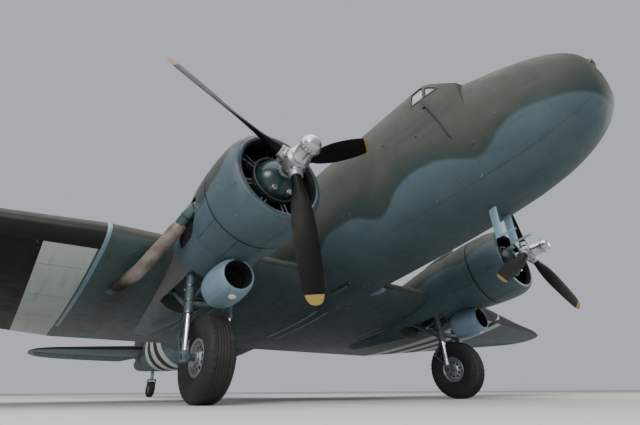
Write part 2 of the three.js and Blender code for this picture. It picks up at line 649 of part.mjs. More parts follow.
// Engine nacelles with the oil cooler scoop, air intake and wheel well
const WELL = { half: 372, y0: 4800, y1: 6080, top: 260 };
const SCOOP_Z = -400;
const SCOOP = [[0, 4795], [190, 4792], [250, 4745], [280, 4640], [285, 4480], [272, 4300], [250, 4180],
  [222, 4125], [206, 4120], [192, 4140], [190, 4400], [0, 4400]];
const COWL_ROOM = [[0, 4000], [690, 4000], [661, FIREWALL_Y], [0, FIREWALL_Y]];
const COWL = [[520, 3060], [565, 3020], [620, 3045], [690, 3250], [704, 3450], [702, 3800],
  [652, FIREWALL_Y - GAP], [612, FIREWALL_Y - GAP], [662, 3800], [648, 3280], [540, 3125]];
const CRANKCASE = [[0, 2870], [62, 2870], [64, 2930], [135, 2945], [248, 3110], [285, 3300], [285, 3860],
  [330, FIREWALL_Y - GAP], [0, FIREWALL_Y - GAP]];
const ROWS_OF_CYLINDERS = [{ y: 3330, turn: 0 }, { y: 3580, turn: 0.5 }];
const CYLINDERS = 7;

function nacelleBody() {
  const x = ENGINE_X;
  const intake = loft([[4060, 75, 60], [4320, 135, 150], [4900, 125, 120], [5350, 60, 20]].map(([y, half, high]) =>
    [[-half, -240], [half, -240], [half, high * 0.5], [half * 0.6, high], [-half * 0.6, high], [-half, high * 0.5]].map(
      ([dx, dz]) => new THREE.Vector3(x + dx, y, THRUST_Z + 640 + dz - (y - 4300) * 0.06)),
  ));
  const body = join(
    hull(NACELLE, FIREWALL_Y, 8320, 0, 20, x),
    intake.intersect(block(0, FIREWALL_Y, 0, 5000, 6000, 3000)),
  );
  const scoop = cut(turned(SCOOP, x, SCOOP_Z, 24), turned(COWL_ROOM, x, THRUST_Z, 24));
  const well = block(x - WELL.half, WELL.y0, -600, x + WELL.half, WELL.y1, WELL.top);
  return cut(join(body, scoop), well, wingTool);
}

function engineBody() {
  const x = ENGINE_X;
  const cylinders = ROWS_OF_CYLINDERS.flatMap(({ y, turn }) =>
    Array.from({ length: CYLINDERS }, (_, i) => {
      const angle = (2 * Math.PI * (i + turn)) / CYLINDERS;
      const out = (r) => [x + r * Math.sin(angle), y, THRUST_Z + r * Math.cos(angle)];
      return bar(out(220), out(588), 84, 96, 8);
    }),
  );
  return join(turned(CRANKCASE, x, THRUST_Z, 14), ...cylinders);
}

// Propeller: a spider with three blades, and the dome in front of it
// Columns: radius, half chord, half thickness, twist in degrees
const BLADE = [
  [120, 66, 66, 50],
  [300, 62, 60, 50],
  [470, 95, 42, 46],
  [760, 128, 26, 38],
  [1080, 134, 18, 30],
  [1400, 122, 13, 25],
  [1620, 96, 9, 22],
  [1730, 60, 6, 21],
  [PROP_RADIUS, 26, 4, 21],
];
const DOME = [[0, -452], [58, -446], [98, -415], [114, -355], [126, -340], [126, -312], [114, -300],
  [114, -130], [0, -130]];
const SPIDER = [[0, -130 + GAP], [128, -130 + GAP], [150, -110], [150, 85], [120, 105], [0, 129]];

function bladeBody(angle) {
  const rings = BLADE.map(([r, half, thick, twist]) => {
    const t = (twist * Math.PI) / 180;
    return Array.from({ length: 8 }, (_, i) => {
      const a = (2 * Math.PI * i) / 8;
      const [c, s] = [half * Math.cos(a), thick * Math.sin(a)];
      return new THREE.Vector3(c * Math.cos(t) - s * Math.sin(t), c * Math.sin(t) + s * Math.cos(t), r);
    });
  });
  return solid(geometryOf(loft(rings)).rotateY(angle));
}

function propeller(sign, phase) {
  const blades = [0, 1, 2].map((k) => {
    const angle = ((phase + 120 * k) * Math.PI) / 180;
    const root = [118 * Math.sin(angle), 0, 118 * Math.cos(angle)];
    const cuff = [215 * Math.sin(angle), 0, 215 * Math.cos(angle)];
    return join(bladeBody(angle), bar(root, cuff, 92, 80, 8));
  });
  const place = (body) => solid(geometryOf(body).translate(sign * ENGINE_X, PROP_Y, THRUST_Z));
  return {
    blades: place(join(turned(SPIDER, 0, 0, 14), ...blades)),
    dome: place(turned(DOME, 0, 0, 14)),
  };
}

// Main gear: twin oleo legs with an axle, drag braces and a cross tube
const LEG = { half: 292, top: [4985, 190], upper: 62, lower: 44, brace: 34 };
function legBody() {
  const parts = [-1, 1].flatMap((side) => {
    const x = ENGINE_X + side * LEG.half;
    const mid = [x, 5010, -640];
    return [
      bar([x, ...LEG.top], mid, LEG.upper, LEG.upper, 8),
      bar(mid, [x, MAIN_AXLE.y, MAIN_AXLE.z], LEG.lower, LEG.lower, 8),
      bar([x - 48, MAIN_AXLE.y, MAIN_AXLE.z], [x + 48, MAIN_AXLE.y, MAIN_AXLE.z], 72, 72, 8),
      bar([x, 5010, -600], [x, 5965, 120], LEG.brace, LEG.brace, 6),
    ];
  });
  const span = LEG.half + 60;
  return join(
    ...parts,
    bar([ENGINE_X - span, MAIN_AXLE.y, MAIN_AXLE.z], [ENGINE_X + span, MAIN_AXLE.y, MAIN_AXLE.z], 40, 40, 12),
    bar([ENGINE_X - LEG.half, 5005, -520], [ENGINE_X + LEG.half, 5005, -520], 42, 42, 8),
    bar([ENGINE_X - LEG.half, 4992, -60], [ENGINE_X + LEG.half, 4992, -60], 48, 48, 8),
    bar([ENGINE_X - LEG.half, 5560, -190], [ENGINE_X + LEG.half, 5560, -190], 26, 26, 6),
  );
}

// A wheel about an axle along x. Steps of the tyre's outline lie flat on the ground.
function wheelBodies({ radius, width, rim }, bore, ratio) {
  const w = width / 2;
  const turnToX = (body) => solid(geometryOf(body).rotateZ(-Math.PI / 2));
  const tyre = [[rim, -w * 0.65], [radius * 0.7, -w * 0.98], [radius * 0.84, -w], [radius * 0.96, -w * 0.76],
    [radius, -w * 0.35], [radius, w * 0.35], [radius * 0.96, w * 0.76], [radius * 0.84, w],
    [radius * 0.7, w * 0.98], [rim, w * 0.65]];
  const face = w * ratio;
  const disc = [[bore, -face], [rim * 0.8, -face], [rim * 0.9, -w * 0.6], [rim - GAP, -w * 0.6],
    [rim - GAP, w * 0.6], [rim * 0.9, w * 0.6], [rim * 0.8, face], [bore, face]];
  return { tyre: turnToX(turned(tyre, 0, 0, WHEEL_SIDES)), disc: turnToX(turned(disc, 0, 0, WHEEL_SIDES)) };
}

// Exhaust: a hollow tailpipe on the outboard side, ending under the wing
function exhaustBody() {
  const path = new THREE.CatmullRomCurve3(
    [[440, 4400, 200], [620, 4450, 190], [790, 4600, 140], [880, 4800, 45], [955, 5120, -85], [1110, 5560, -185]].map(
      ([out, y, z]) => new THREE.Vector3(ENGINE_X + out, y, z)),
  );
  const pipe = (r) => {
    const points = Array.from({ length: 8 }, (_, i) =>
      new THREE.Vector2(r * Math.cos((Math.PI * i) / 4), r * Math.sin((Math.PI * i) / 4)));
    const made = new THREE.ExtrudeGeometry(new THREE.Shape(points),
      { steps: 7, extrudePath: path, bevelEnabled: false });
    return solid(made);
  };
  const bore = pipe(86).intersect(block(0, 5100, -600, 5000, 6000, 600));
  return cut(pipe(100), bore, hull(NACELLE, FIREWALL_Y, 8320, GAP, 20, ENGINE_X));
}

const nacelle = nacelleBody();
const engine = engineBody();
const cowl = turned(COWL, ENGINE_X, THRUST_Z, 24);
const exhaust = largest(exhaustBody());
const leg = cut(legBody(), wingTool);
const groundPitch = Math.atan2(
  TAIL_AXLE.z - TAIL_TYRE.radius - MAIN_AXLE.z + MAIN_TYRE.radius, TAIL_AXLE.y - MAIN_AXLE.y);
const PROP_PHASE = { port: 2, stbd: 57 };
const wheel = wheelBodies(MAIN_TYRE, 41, 0.8);
for (const { tag, sign, place } of SIDES) {
  show("nacelle_" + tag, "grey", place(nacelle));
  show("cowl_" + tag, "grey", place(cowl));
  show("engine_" + tag, "engine", place(engine));
  show("exhaust_" + tag, "rust", place(exhaust));
  show("gear_leg_" + tag, "alloy", place(largest(leg)));
  const prop = propeller(sign, PROP_PHASE[tag]);
  const shaft = carrier("spin_propeller_" + tag, [sign * ENGINE_X, PROP_Y, THRUST_Z], [0, 1, 0]);
  show("propeller_" + tag, "black", prop.blades, shaft);
  show("propeller_dome_" + tag, "alloy", prop.dome, shaft);
  const hub = carrier("spin_wheel_" + tag, [sign * ENGINE_X, MAIN_AXLE.y, MAIN_AXLE.z], [1, 0, 0]);
  const set = (body) => {
    const flat = geometryOf(body).rotateX(groundPitch + Math.PI / WHEEL_SIDES);
    return solid(flat.translate(sign * ENGINE_X, MAIN_AXLE.y, MAIN_AXLE.z));
  };
  show("tyre_" + tag, "boot", set(wheel.tyre), hub);
  show("wheel_" + tag, "alloy", set(wheel.disc), hub);
}

// Tail wheel: a fixed leg, a castering fork and the wheel
const STRUT = { y: 16400, z: 905, radius: 62 };
const tailLeg = cut(
  join(
    bar([0, STRUT.y, STRUT.z + GAP], [0, STRUT.y, 1420], STRUT.radius, STRUT.radius, 12),
    bar([0, STRUT.y, STRUT.z + 60], [0, 16050, 1300], 34, 34, 8),
  ),
  tailTool,
);
show("tail_leg", "alloy", tailLeg);
const FORK = { half: 130, plate: 22 };
const fork = join(
  bar([0, STRUT.y, 835], [0, STRUT.y, STRUT.z], 55, 55, 12),
  block(-FORK.half - FORK.plate, STRUT.y - 55, 815, FORK.half + FORK.plate, STRUT.y + 55, 850),
  ...[-1, 1].map((side) => {
    const x = side * (FORK.half + FORK.plate / 2);
    return join(
      loft([-1, 1].map((s) =>
        [[STRUT.y - 55, 840], [STRUT.y + 55, 840], [TAIL_AXLE.y + 42, TAIL_AXLE.z], [TAIL_AXLE.y, TAIL_AXLE.z - 42],
          [TAIL_AXLE.y - 42, TAIL_AXLE.z]].map(([y, z]) => new THREE.Vector3(x + (s * FORK.plate) / 2, y, z)))),
    );
  }),
  bar([-FORK.half - 5, TAIL_AXLE.y, TAIL_AXLE.z], [FORK.half + 5, TAIL_AXLE.y, TAIL_AXLE.z], 20, 20, 12),
);
const caster = carrier("swivel_tail_fork", [0, STRUT.y, STRUT.z], [0, 0, 1]);
show("tail_fork", "steel", fork, caster);
const small = wheelBodies(TAIL_TYRE, 21, 0.8);
const tailHub = carrier("spin_tail_wheel", [0, TAIL_AXLE.y, TAIL_AXLE.z], [1, 0, 0]);
const setTail = (body) => {
  const flat = geometryOf(body).rotateX(groundPitch + Math.PI / WHEEL_SIDES);
  return solid(flat.translate(0, TAIL_AXLE.y, TAIL_AXLE.z));
};
show("tail_tyre", "boot", setTail(small.tyre), tailHub);
show("tail_wheel", "alloy", setTail(small.disc), tailHub);

// Pitot masts under the nose
const noseTool = fuselage(12, NOSE_END, GAP);
for (const { tag, place } of SIDES) {
  const x = 190;
  const mast = join(
    loft([[500, 40], [-330, 30]].map(([z, half]) =>
      [[-half * 1.6, 0], [-half, 12], [half, 12], [half * 1.8, 0], [half, -12], [-half, -12]].map(
        ([dy, dx]) => new THREE.Vector3(x + dx, 1780 + dy + (500 - z) * 0.12, z)))),
    bar([x, 1650, -330], [x, 1940, -330], 16, 16, 8),
  );
  show("pitot_mast_" + tag, "grey", place(largest(cut(mast, noseTool))));
}

// Parked: nose up by the ground angle, tyres on z = 0, the box centred on the origin
aircraft.rotation.x = -groundPitch;
aircraft.updateMatrixWorld(true);
const extent = new THREE.Box3().setFromObject(aircraft, true);
aircraft.position.y = -(extent.min.y + extent.max.y) / 2;
aircraft.position.z = -extent.min.z;

const root = new THREE.Group();
root.add(aircraft);

export default root;
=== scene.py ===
import json
import math

import bmesh
import bpy
import numpy as np
from mathutils import Matrix, Vector

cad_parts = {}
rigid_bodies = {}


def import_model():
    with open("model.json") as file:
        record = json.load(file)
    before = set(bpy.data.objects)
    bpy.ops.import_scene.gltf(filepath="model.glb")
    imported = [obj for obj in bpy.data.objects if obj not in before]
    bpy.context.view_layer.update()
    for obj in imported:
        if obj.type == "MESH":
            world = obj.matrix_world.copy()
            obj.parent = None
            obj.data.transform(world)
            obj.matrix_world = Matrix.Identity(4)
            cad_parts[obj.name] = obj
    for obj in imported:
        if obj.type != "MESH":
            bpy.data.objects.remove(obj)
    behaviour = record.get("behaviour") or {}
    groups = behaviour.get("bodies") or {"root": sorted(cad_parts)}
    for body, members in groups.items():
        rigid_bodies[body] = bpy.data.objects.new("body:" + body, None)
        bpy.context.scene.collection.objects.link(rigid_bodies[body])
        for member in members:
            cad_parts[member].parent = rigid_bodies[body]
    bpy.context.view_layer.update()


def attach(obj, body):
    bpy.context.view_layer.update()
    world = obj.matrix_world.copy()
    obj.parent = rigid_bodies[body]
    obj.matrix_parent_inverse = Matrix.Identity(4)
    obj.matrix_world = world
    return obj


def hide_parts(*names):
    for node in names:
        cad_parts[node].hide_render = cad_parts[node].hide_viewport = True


# Drawn level in millimetres (x to port, y aft from the nose, z up from the belly), then turned
# nose up by PITCH and shifted in metres, as the plane stands on its three wheels.

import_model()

PITCH = 0.17704192
SHIFT_Y, SHIFT_Z = -9.969498, 2.665296

# Camera at floor level, ahead of the starboard wing, looking up and aft
PHOTO_WIDTH = 640
CAMERA = {"x": -5.096, "y": -10.569, "z": 0.15, "yaw": 51.74, "pitch": 24.29, "roll": 0.35, "focal_px": 397}

ENGINE_X, THRUST_Z, PROP_Y, FIREWALL_Y = 2820, 470, 2740, 4290
WING_JOINT_X = 4275
NOSE_END, CABIN_END, COCKPIT_FRONT = 3200, 15000, 1440
DIHEDRAL, INCIDENCE = math.tan(math.radians(5)), math.tan(math.radians(2))
MAIN_AXLE_Y, MAIN_AXLE_Z = 5050, -1230
TAIL_AXLE_Y, TAIL_AXLE_Z = 16480, 520
MAIN_AXLE = np.array([ENGINE_X, MAIN_AXLE_Y, MAIN_AXLE_Z])
TAIL_AXLE = np.array([0, TAIL_AXLE_Y, TAIL_AXLE_Z])
TAIL_POST_Y = 16400
STAB_Z, RUDDER_HINGE_Y, ELEVATOR_HINGE_Y = 1950, 17950, 17360
CLEAR = 8
# Half the gap between two skins that meet, the slack of one piece round another, half the gap at a wing joint
SEAM, FIT, WING_SEAM = 0.2, 0.4, 0.35
PORT, STARBOARD, AFT, AHEAD, UP, DOWN = (1, 0, 0), (-1, 0, 0), (0, 1, 0), (0, -1, 0), (0, 0, 1), (0, 0, -1)
SIDES = ((1, "port"), (-1, "stbd"))
# A radius that counts as none, and a chamfer that counts as none
ON_AXIS = 0.01
SQUARE = 0.01
HULL_SIDES = 96
# Roundness of a section below its widest point
LOWER_POWER = 0.96
MM = 0.001

# Fuselage and nacelle sections: y, half width, top, bottom, height of the widest point, fullness
NOSE_ROWS = [
    [12, 5, 1082, 1070, 1076, 2], [18, 106, 1184, 968, 1076, 2], [38, 221, 1300, 852, 1075, 2],
    [70, 330, 1410, 740, 1072, 2], [220, 520, 1590, 530, 1075, 2], [480, 680, 1745, 350, 1085, 2.05],
    [850, 810, 1890, 205, 1105, 2.1], [1350, 915, 2050, 105, 1150, 2.2],
]
MAIN_ROWS = [
    [1352, 915, 2540, 105, 1150, 2.75], [1900, 985, 2570, 55, 1190, 2.7], [2500, 1040, 2585, 25, 1220, 2.55],
    [3200, 1095, 2600, 10, 1250, 2.35], [4200, 1155, 2615, 0, 1275, 2.2], [5400, 1210, 2620, 0, 1285, 2.15],
    [7000, 1230, 2620, 0, 1290, 2.15], [9200, 1225, 2620, 128, 1300, 2.15],
    [10500, 1185, 2608, 178, 1345, 2.15], [12000, 1090, 2575, 325, 1430, 2.12],
    [13500, 940, 2520, 570, 1540, 2.1], [15000, 745, 2445, 840, 1660, 2.05],
    [16500, 510, 2360, 1165, 1780, 2], [17800, 285, 2270, 1450, 1880, 2], [18560, 135, 2170, 1660, 1920, 2],
    [18840, 75, 2050, 1800, 1930, 2], [18900, 30, 1975, 1885, 1930, 2],
]
TAIL_END = MAIN_ROWS[-1][0]
DECK_ROWS = NOSE_ROWS[5:] + [
    [1600, 968, 2086, -60, 1170, 2.3], [1900, 1030, 2110, -60, 1190, 2.5], [2500, 1150, 2125, -60, 1220, 2.6],
]
NACELLE_ROWS = [
    [4290, 640, 1110, -170, 470, 2], [4700, 640, 1105, -215, 440, 2], [5200, 605, 1050, -262, 400, 2.1],
    [6000, 525, 920, -275, 330, 2.1], [6800, 420, 760, -215, 270, 2.1], [7600, 285, 560, -120, 200, 2],
    [8200, 140, 350, -15, 150, 2], [8320, 60, 230, 70, 140, 2],
]
# Wings: distance out, leading edge, trailing edge, height, thickness over chord
WING_CENTRE_ROW = [0, 4870, 9170, 235, 0.15]
OUTER_WING_ROWS = [
    [x, lead, trail, 235 + (x - WING_JOINT_X) * DIHEDRAL, thick]
    for x, lead, trail, thick in [
        (4275, 4870, 9170, 0.15), (9000, 6265, 9140, 0.115), (13100, 7475, 9100, 0.09),
        (13800, 7760, 9010, 0.085), (14260, 8040, 8860, 0.075), (14555, 8370, 8640, 0.06)]
]
# Fin: height, leading edge, trailing edge, thickness over chord
FIN_ROWS = [
    [2100, 15150, 18860, 0.075], [2420, 15640, 19330, 0.078], [3000, 16060, 19425, 0.082],
    [4200, 16740, 19324, 0.085], [5000, 17160, 19060, 0.085], [5480, 17450, 18760, 0.08],
    [5700, 17700, 18480, 0.07], [5789.5, 17950, 18230, 0.06],
]
TAILPLANE_ROWS = [
    [150, 15960, 18420, STAB_Z, 0.1], [2600, 16560, 18330, STAB_Z, 0.09], [3450, 16790, 18190, STAB_Z, 0.085],
    [3850, 16990, 18000, STAB_Z, 0.075], [4065, 17290, 17700, STAB_Z, 0.06],
]


def to_row(points):
    p = np.asarray(points, float).reshape(-1, 3) * MM
    c, s = math.cos(PITCH), math.sin(PITCH)
    return np.stack([p[:, 0], p[:, 1] * c + p[:, 2] * s + SHIFT_Y, p[:, 2] * c - p[:, 1] * s + SHIFT_Z],
                    axis=1)


# Curves through tables


def smooth_table(rows, samples=600):
    """Rows joined by monotone cubic curves over their running length."""
    rows = np.array(rows, float)
    step = np.sqrt(((rows[1:, :4] - rows[:-1, :4]) ** 2).sum(axis=1))
    run = np.concatenate([[0], np.cumsum(step)])
    slope = (rows[1:] - rows[:-1]) / step[:, None]
    before, after = slope[:-1], slope[1:]
    h0, h1 = step[:-1, None], step[1:, None]
    mean = (before * h1 + after * h0) / (h0 + h1)
    limit = 3 * np.minimum(np.abs(before), np.abs(after))
    inner = np.where(before * after > 0, np.clip(mean, -limit, limit), 0)
    tangent = np.vstack([slope[:1], inner, slope[-1:]])
    t = np.linspace(0, run[-1], samples)
    i = np.clip(np.searchsorted(run, t, side="right") - 1, 0, len(step) - 1)
    h = step[i][:, None]
    q = (t - run[i])[:, None] / h
    return ((1 + 2 * q) * (1 - q) ** 2 * rows[i] + q * (1 - q) ** 2 * h * tangent[i]
            + q * q * (3 - 2 * q) * rows[i + 1] + q * q * (q - 1) * h * tangent[i + 1])


def row_at(table, value):
    return np.array([np.interp(value, table[:, 0], table[:, k]) for k in range(table.shape[1])])


def stations(table, start, end, count, extra=()):
    """Values of the first column, evenly spread over the table's samples."""
    first, last = (np.searchsorted(table[:, 0], v) for v in (start, end))
    picked = np.interp(np.linspace(first, last, count), np.arange(len(table)), table[:, 0])
    picked[0], picked[-1] = start, end
    merged = np.concatenate([picked, [v for v in extra if start < v < end]])
    merged.sort()
    keep = np.concatenate([[True], np.diff(merged) > 4])
    return merged[keep]


def ring(row, grow, sides=HULL_SIDES, x=0):
    y, half, top, bottom, middle, fullness = row
    turn = 2 * np.pi * (np.arange(sides) + 0.5) / sides
    c, s = np.cos(turn), np.sin(turn)
    power = np.where(s > 0, 2 / fullness, LOWER_POWER)
    across = np.sign(c) * (half + grow) * np.abs(c) ** power
    reach = np.where(s > 0, top - middle, middle - bottom) + grow
    return np.stack([x + across, np.full(sides, y), middle + np.sign(s) * reach * np.abs(s) ** power], axis=1)


NOSE = smooth_table(NOSE_ROWS)
MAIN = smooth_table(MAIN_ROWS, 1500)
DECK = smooth_table(DECK_ROWS)
NACELLE = smooth_table(NACELLE_ROWS)
OUTER_WING = smooth_table(OUTER_WING_ROWS, 1500)
FIN = smooth_table([[z, lead, trail, 0, thick] for z, lead, trail, thick in FIN_ROWS], 900)
TAILPLANE = smooth_table(TAILPLANE_ROWS, 900)


def half_thickness(u):
    return 5 * (0.2969 * np.sqrt(u) - 0.126 * u - 0.3516 * u**2 + 0.2843 * u**3 - 0.1036 * u**4)


def camber(u):
    return np.where(u < 0.2, 0.5 * (0.4 * u - u * u), 0.03125 * (0.6 + 0.4 * u - u * u))


def surface_z(row, y, side, cambered=1):
    _, lead, trail, height, thick = row
    u = np.clip((y - lead) / (trail - lead), 0, 1)
    bend = cambered * (camber(u) + (0.3 - u) * INCIDENCE)
    return height + (trail - lead) * (bend + side * thick * half_thickness(u))


# Shapes: points in level millimetres, faces with a finish, and a place on the skin in metres


class Shape:
    def __init__(self):
        self.points, self.faces, self.finishes, self.skin = [], [], [], []

    def add(self, points, faces, finish, skin=None):
        base = len(self.points)
        points = np.asarray(points, float).reshape(-1, 3)
        self.points.extend(points.tolist())
        self.skin.extend(points[:, :2].tolist() if skin is None else np.asarray(skin).tolist())
        self.faces.extend([base + i for i in face] for face in faces)
        self.finishes.extend([finish] * len(faces) if isinstance(finish, str) else finish)
        return self

    def loft(self, rings, finish, skin=None, caps=True, cap_finish=None):
        """A skin through rings of points. finish is a name or a function of a face's ring and step."""
        rings = np.asarray(rings, float)
        n, m = rings.shape[:2]
        faces, names = [], []
        for i in range(n - 1):
            for j in range(m):
                k = (j + 1) % m
                faces.append((i * m + j, i * m + k, (i + 1) * m + k, (i + 1) * m + j))
                names.append(finish if isinstance(finish, str) else finish(i, j))
        if caps:
            faces += [tuple(range(m))[::-1], tuple(range((n - 1) * m, n * m))]
            names += [cap_finish or names[0], cap_finish or names[-1]]
        return self.add(rings.reshape(-1, 3), faces, names, skin)

    def turned(self, profile, origin, axis, finish, sides):
        """A closed lathe: profile is [radius, distance along the axis], finish a name or one a step.

        A profile that starts and ends on the axis makes a body with no bore."""
        axis, e1, e2 = square_to(axis)
        profile = np.asarray(profile, float)
        full = profile[0, 0] == ON_AXIS and profile[-1, 0] == ON_AXIS
        turn = 2 * np.pi * np.arange(sides) / sides
        around = np.cos(turn)[:, None] * e1 + np.sin(turn)[:, None] * e2
        rings = (np.asarray(origin, float) + profile[:, 1, None, None] * axis
                 + profile[:, 0, None, None] * around[None])
        n = len(profile)
        run = np.concatenate([[0], np.cumsum(np.hypot(*np.diff(profile, axis=0).T))])
        half_way = np.minimum(np.arange(sides), sides - np.arange(sides)) * 2 * np.pi / sides
        widest = profile[:, 0].max()
        skin = [(a * widest * MM, r * MM) for r in run for a in half_way]
        faces, names = [], []
        for i in range(n - 1 if full else n):
            for j in range(sides):
                k = (j + 1) % sides
                a, b = i * sides, ((i + 1) % n) * sides
                faces.append((a + j, a + k, b + k, b + j))
                names.append(finish if isinstance(finish, str) else finish[i % len(finish)])
        if full:
            faces += [tuple(range(sides))[::-1], tuple(range((n - 1) * sides, n * sides))]
            names += [names[0], names[-1]]
        return self.add(rings.reshape(-1, 3), faces, names, skin)

    def fitting(self, origin, axis, sides, **profiles):
        """Lathes about one axis, each named by its finish."""
        for finish, profile in profiles.items():
            self.turned(profile, origin, axis, finish, sides)
        return self

    def bar(self, a, b, r0, r1, finish, sides):
        """A round bar from a to b, with its radius at each end."""
        length = float(np.linalg.norm(np.subtract(b, a)))
        lip = min(r0, r1, length) * 0.12
        profile = [[ON_AXIS, 0], [r0 - lip, 0], [r0, lip], [r1, length - lip], [r1 - lip, length],
                   [ON_AXIS, length]]
        return self.turned(profile, a, np.subtract(b, a), finish, sides)

    def tube(self, path, radius, finish, sides, bore=0):
        """A pipe along a path; radius is one number or one a point; a bore hollows it."""
        path = np.asarray(path, float)
        radii = np.broadcast_to(np.asarray(radius, float), (len(path),))
        ahead = np.gradient(path, axis=0)
        ahead /= np.linalg.norm(ahead, axis=1)[:, None]
        _, e1, _ = square_to(ahead[0])
        rings = []
        for point, way, r in zip(path, ahead, radii):
            e1 = e1 - way * np.dot(e1, way)
            e1 /= np.linalg.norm(e1)
            e2 = np.cross(way, e1)
            turn = 2 * np.pi * np.arange(sides) / sides
            rings.append((point, r, np.cos(turn)[:, None] * e1 + np.sin(turn)[:, None] * e2))
        outer = [p + r * c for p, r, c in rings]
        inner = [p + (r - bore) * c for p, r, c in rings] if bore else []
        return self.loft(outer + inner[::-1] + (outer[:1] if bore else []), finish, caps=not bore)

    def block(self, low, high, finish, chamfer):
        low, high = np.asarray(low, float), np.asarray(high, float)
        points = []
        for corner in np.ndindex(2, 2, 2):
            at = np.where(corner, high, low)
            for axis in range(3):
                point = at + np.where(np.arange(3) == axis, 0, chamfer) * np.where(corner, -1, 1)
                points.append(point)
        return self.convex(points, finish)

    def convex(self, points, finish):
        bm = bmesh.new()
        for point in points:
            bm.verts.new(point)
        made = bmesh.ops.convex_hull(bm, input=bm.verts)
        bmesh.ops.delete(bm, geom=list(set(made["geom_interior"])), context="VERTS")
        bm.verts.index_update()
        faces = [[v.index for v in face.verts] for face in bm.faces]
        self.add([v.co[:] for v in bm.verts], faces, finish)
        bm.free()
        return self

    def studs(self, centres, way, radius, height, finish, sides=6):
        way = np.asarray(way, float) / np.linalg.norm(way)
        for centre in centres:
            self.bar(np.asarray(centre) - way, np.asarray(centre) + way * height, radius, radius, finish,
                     sides)
        return self

    def take(self, other):
        """Adds another shape's faces to this one."""
        return self.add(other.points, other.faces, other.finishes, other.skin)


def square_to(axis):
    """The unit axis and two unit vectors square to it, with the second as near upright as can be."""
    a = np.asarray(axis, float)
    a = a / np.linalg.norm(a)
    up = np.array([0.0, 0.0, 1.0]) if abs(a[2]) < 0.9 else np.array([0.0, 1.0, 0.0])
    e1 = np.cross(up, a)
    e1 /= np.linalg.norm(e1)
    return a, e1, np.cross(a, e1)


def circle(centre, way, radius, count):
    _, e1, e2 = square_to(way)
    angles = 2 * np.pi * np.arange(count) / count
    return [np.asarray(centre, float) + radius * (math.cos(t) * e1 + math.sin(t) * e2) for t in angles]


# Blender objects made from shapes


def solid(shape):
    """A piece made from a shape: its faces by finish, and its place on the skin as an attribute."""
    mesh = bpy.data.meshes.new("tool")
    mesh.from_pydata(to_row(shape.points).tolist(), [], shape.faces)
    names = sorted(set(shape.finishes))
    for key in names:
        mesh.materials.append(MATERIALS[key])
    index = {key: i for i, key in enumerate(names)}
    mesh.polygons.foreach_set("material_index", [index[key] for key in shape.finishes])
    mesh.polygons.foreach_set("use_smooth", [True] * len(mesh.polygons))
    spot = mesh.attributes.new("skin", "FLOAT_VECTOR", "POINT")
    skin = np.asarray(shape.skin, float)
    spot.data.foreach_set("vector", np.column_stack([skin, np.zeros(len(skin))]).ravel())
    bm = bmesh.new()
    bm.from_mesh(mesh)
    bmesh.ops.remove_doubles(bm, verts=bm.verts, dist=1e-6)
    bmesh.ops.recalc_face_normals(bm, faces=bm.faces)
    bm.to_mesh(mesh)
    bm.free()
    made = bpy.data.objects.new("tool", mesh)
    bpy.context.scene.collection.objects.link(made)
    return made


def piece_of(made):
    """The piece of a shape; a piece stays as it is."""
    return solid(made) if isinstance(made, Shape) else made


def boolean(body, tools, operation="DIFFERENCE", keep=False):
    """Cuts a piece by tools, joins them to it or keeps what they share; keep leaves the tools in place."""
    tools = [piece_of(tool) for tool in tools]
    for tool in tools:
        step = body.modifiers.new("step", "BOOLEAN")
        step.object, step.operation = tool, operation
        step.solver, step.material_mode = "MANIFOLD", "TRANSFER"
    result = bpy.data.meshes.new_from_object(body.evaluated_get(bpy.context.evaluated_depsgraph_get()))
    body.modifiers.clear()
    body.data = result
    if not keep:
        for tool in tools:
            bpy.data.objects.remove(tool)
    return body


def copy_of(body):
    twin = body.copy()
    twin.data = body.data.copy()
    bpy.context.scene.collection.objects.link(twin)
    return twin


def mirrored(body):
    """The piece itself, moved to its mirror image on the other side."""
    body.data.transform(Matrix.Diagonal((-1, 1, 1, 1)))
    body.data.flip_normals()
    return body


def twin_of(body):
    return mirrored(copy_of(body))


def place(made, name, body="airframe", replaces=(), sharp=35):
    """Names a finished piece and says what it rides on and what it replaces."""
    made = piece_of(made)
    made.name = name
    made.data.name = name
    made.data.set_sharp_from_angle(angle=math.radians(sharp))
    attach(made, body)
    if replaces:
        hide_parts(*replaces)
    return made


def both(made, name, body="airframe", replaces="", sharp=35):
    """Places a port piece and its starboard twin; {} in the names stands for the side."""
    made = piece_of(made)
    for piece, tag in ((made, "port"), (twin_of(made), "stbd")):
        nodes = [n.replace("{}", tag) for n in replaces.split()]
        place(piece, name.replace("{}", tag), body.replace("{}", tag), nodes, sharp)


# Materials


def rgb(code):
    parts = [int(code[i:i + 2], 16) / 255 for i in (1, 3, 5)]
    return tuple(c / 12.92 if c < 0.04045 else ((c + 0.055) / 1.055) ** 2.4 for c in parts) + (1.0,)


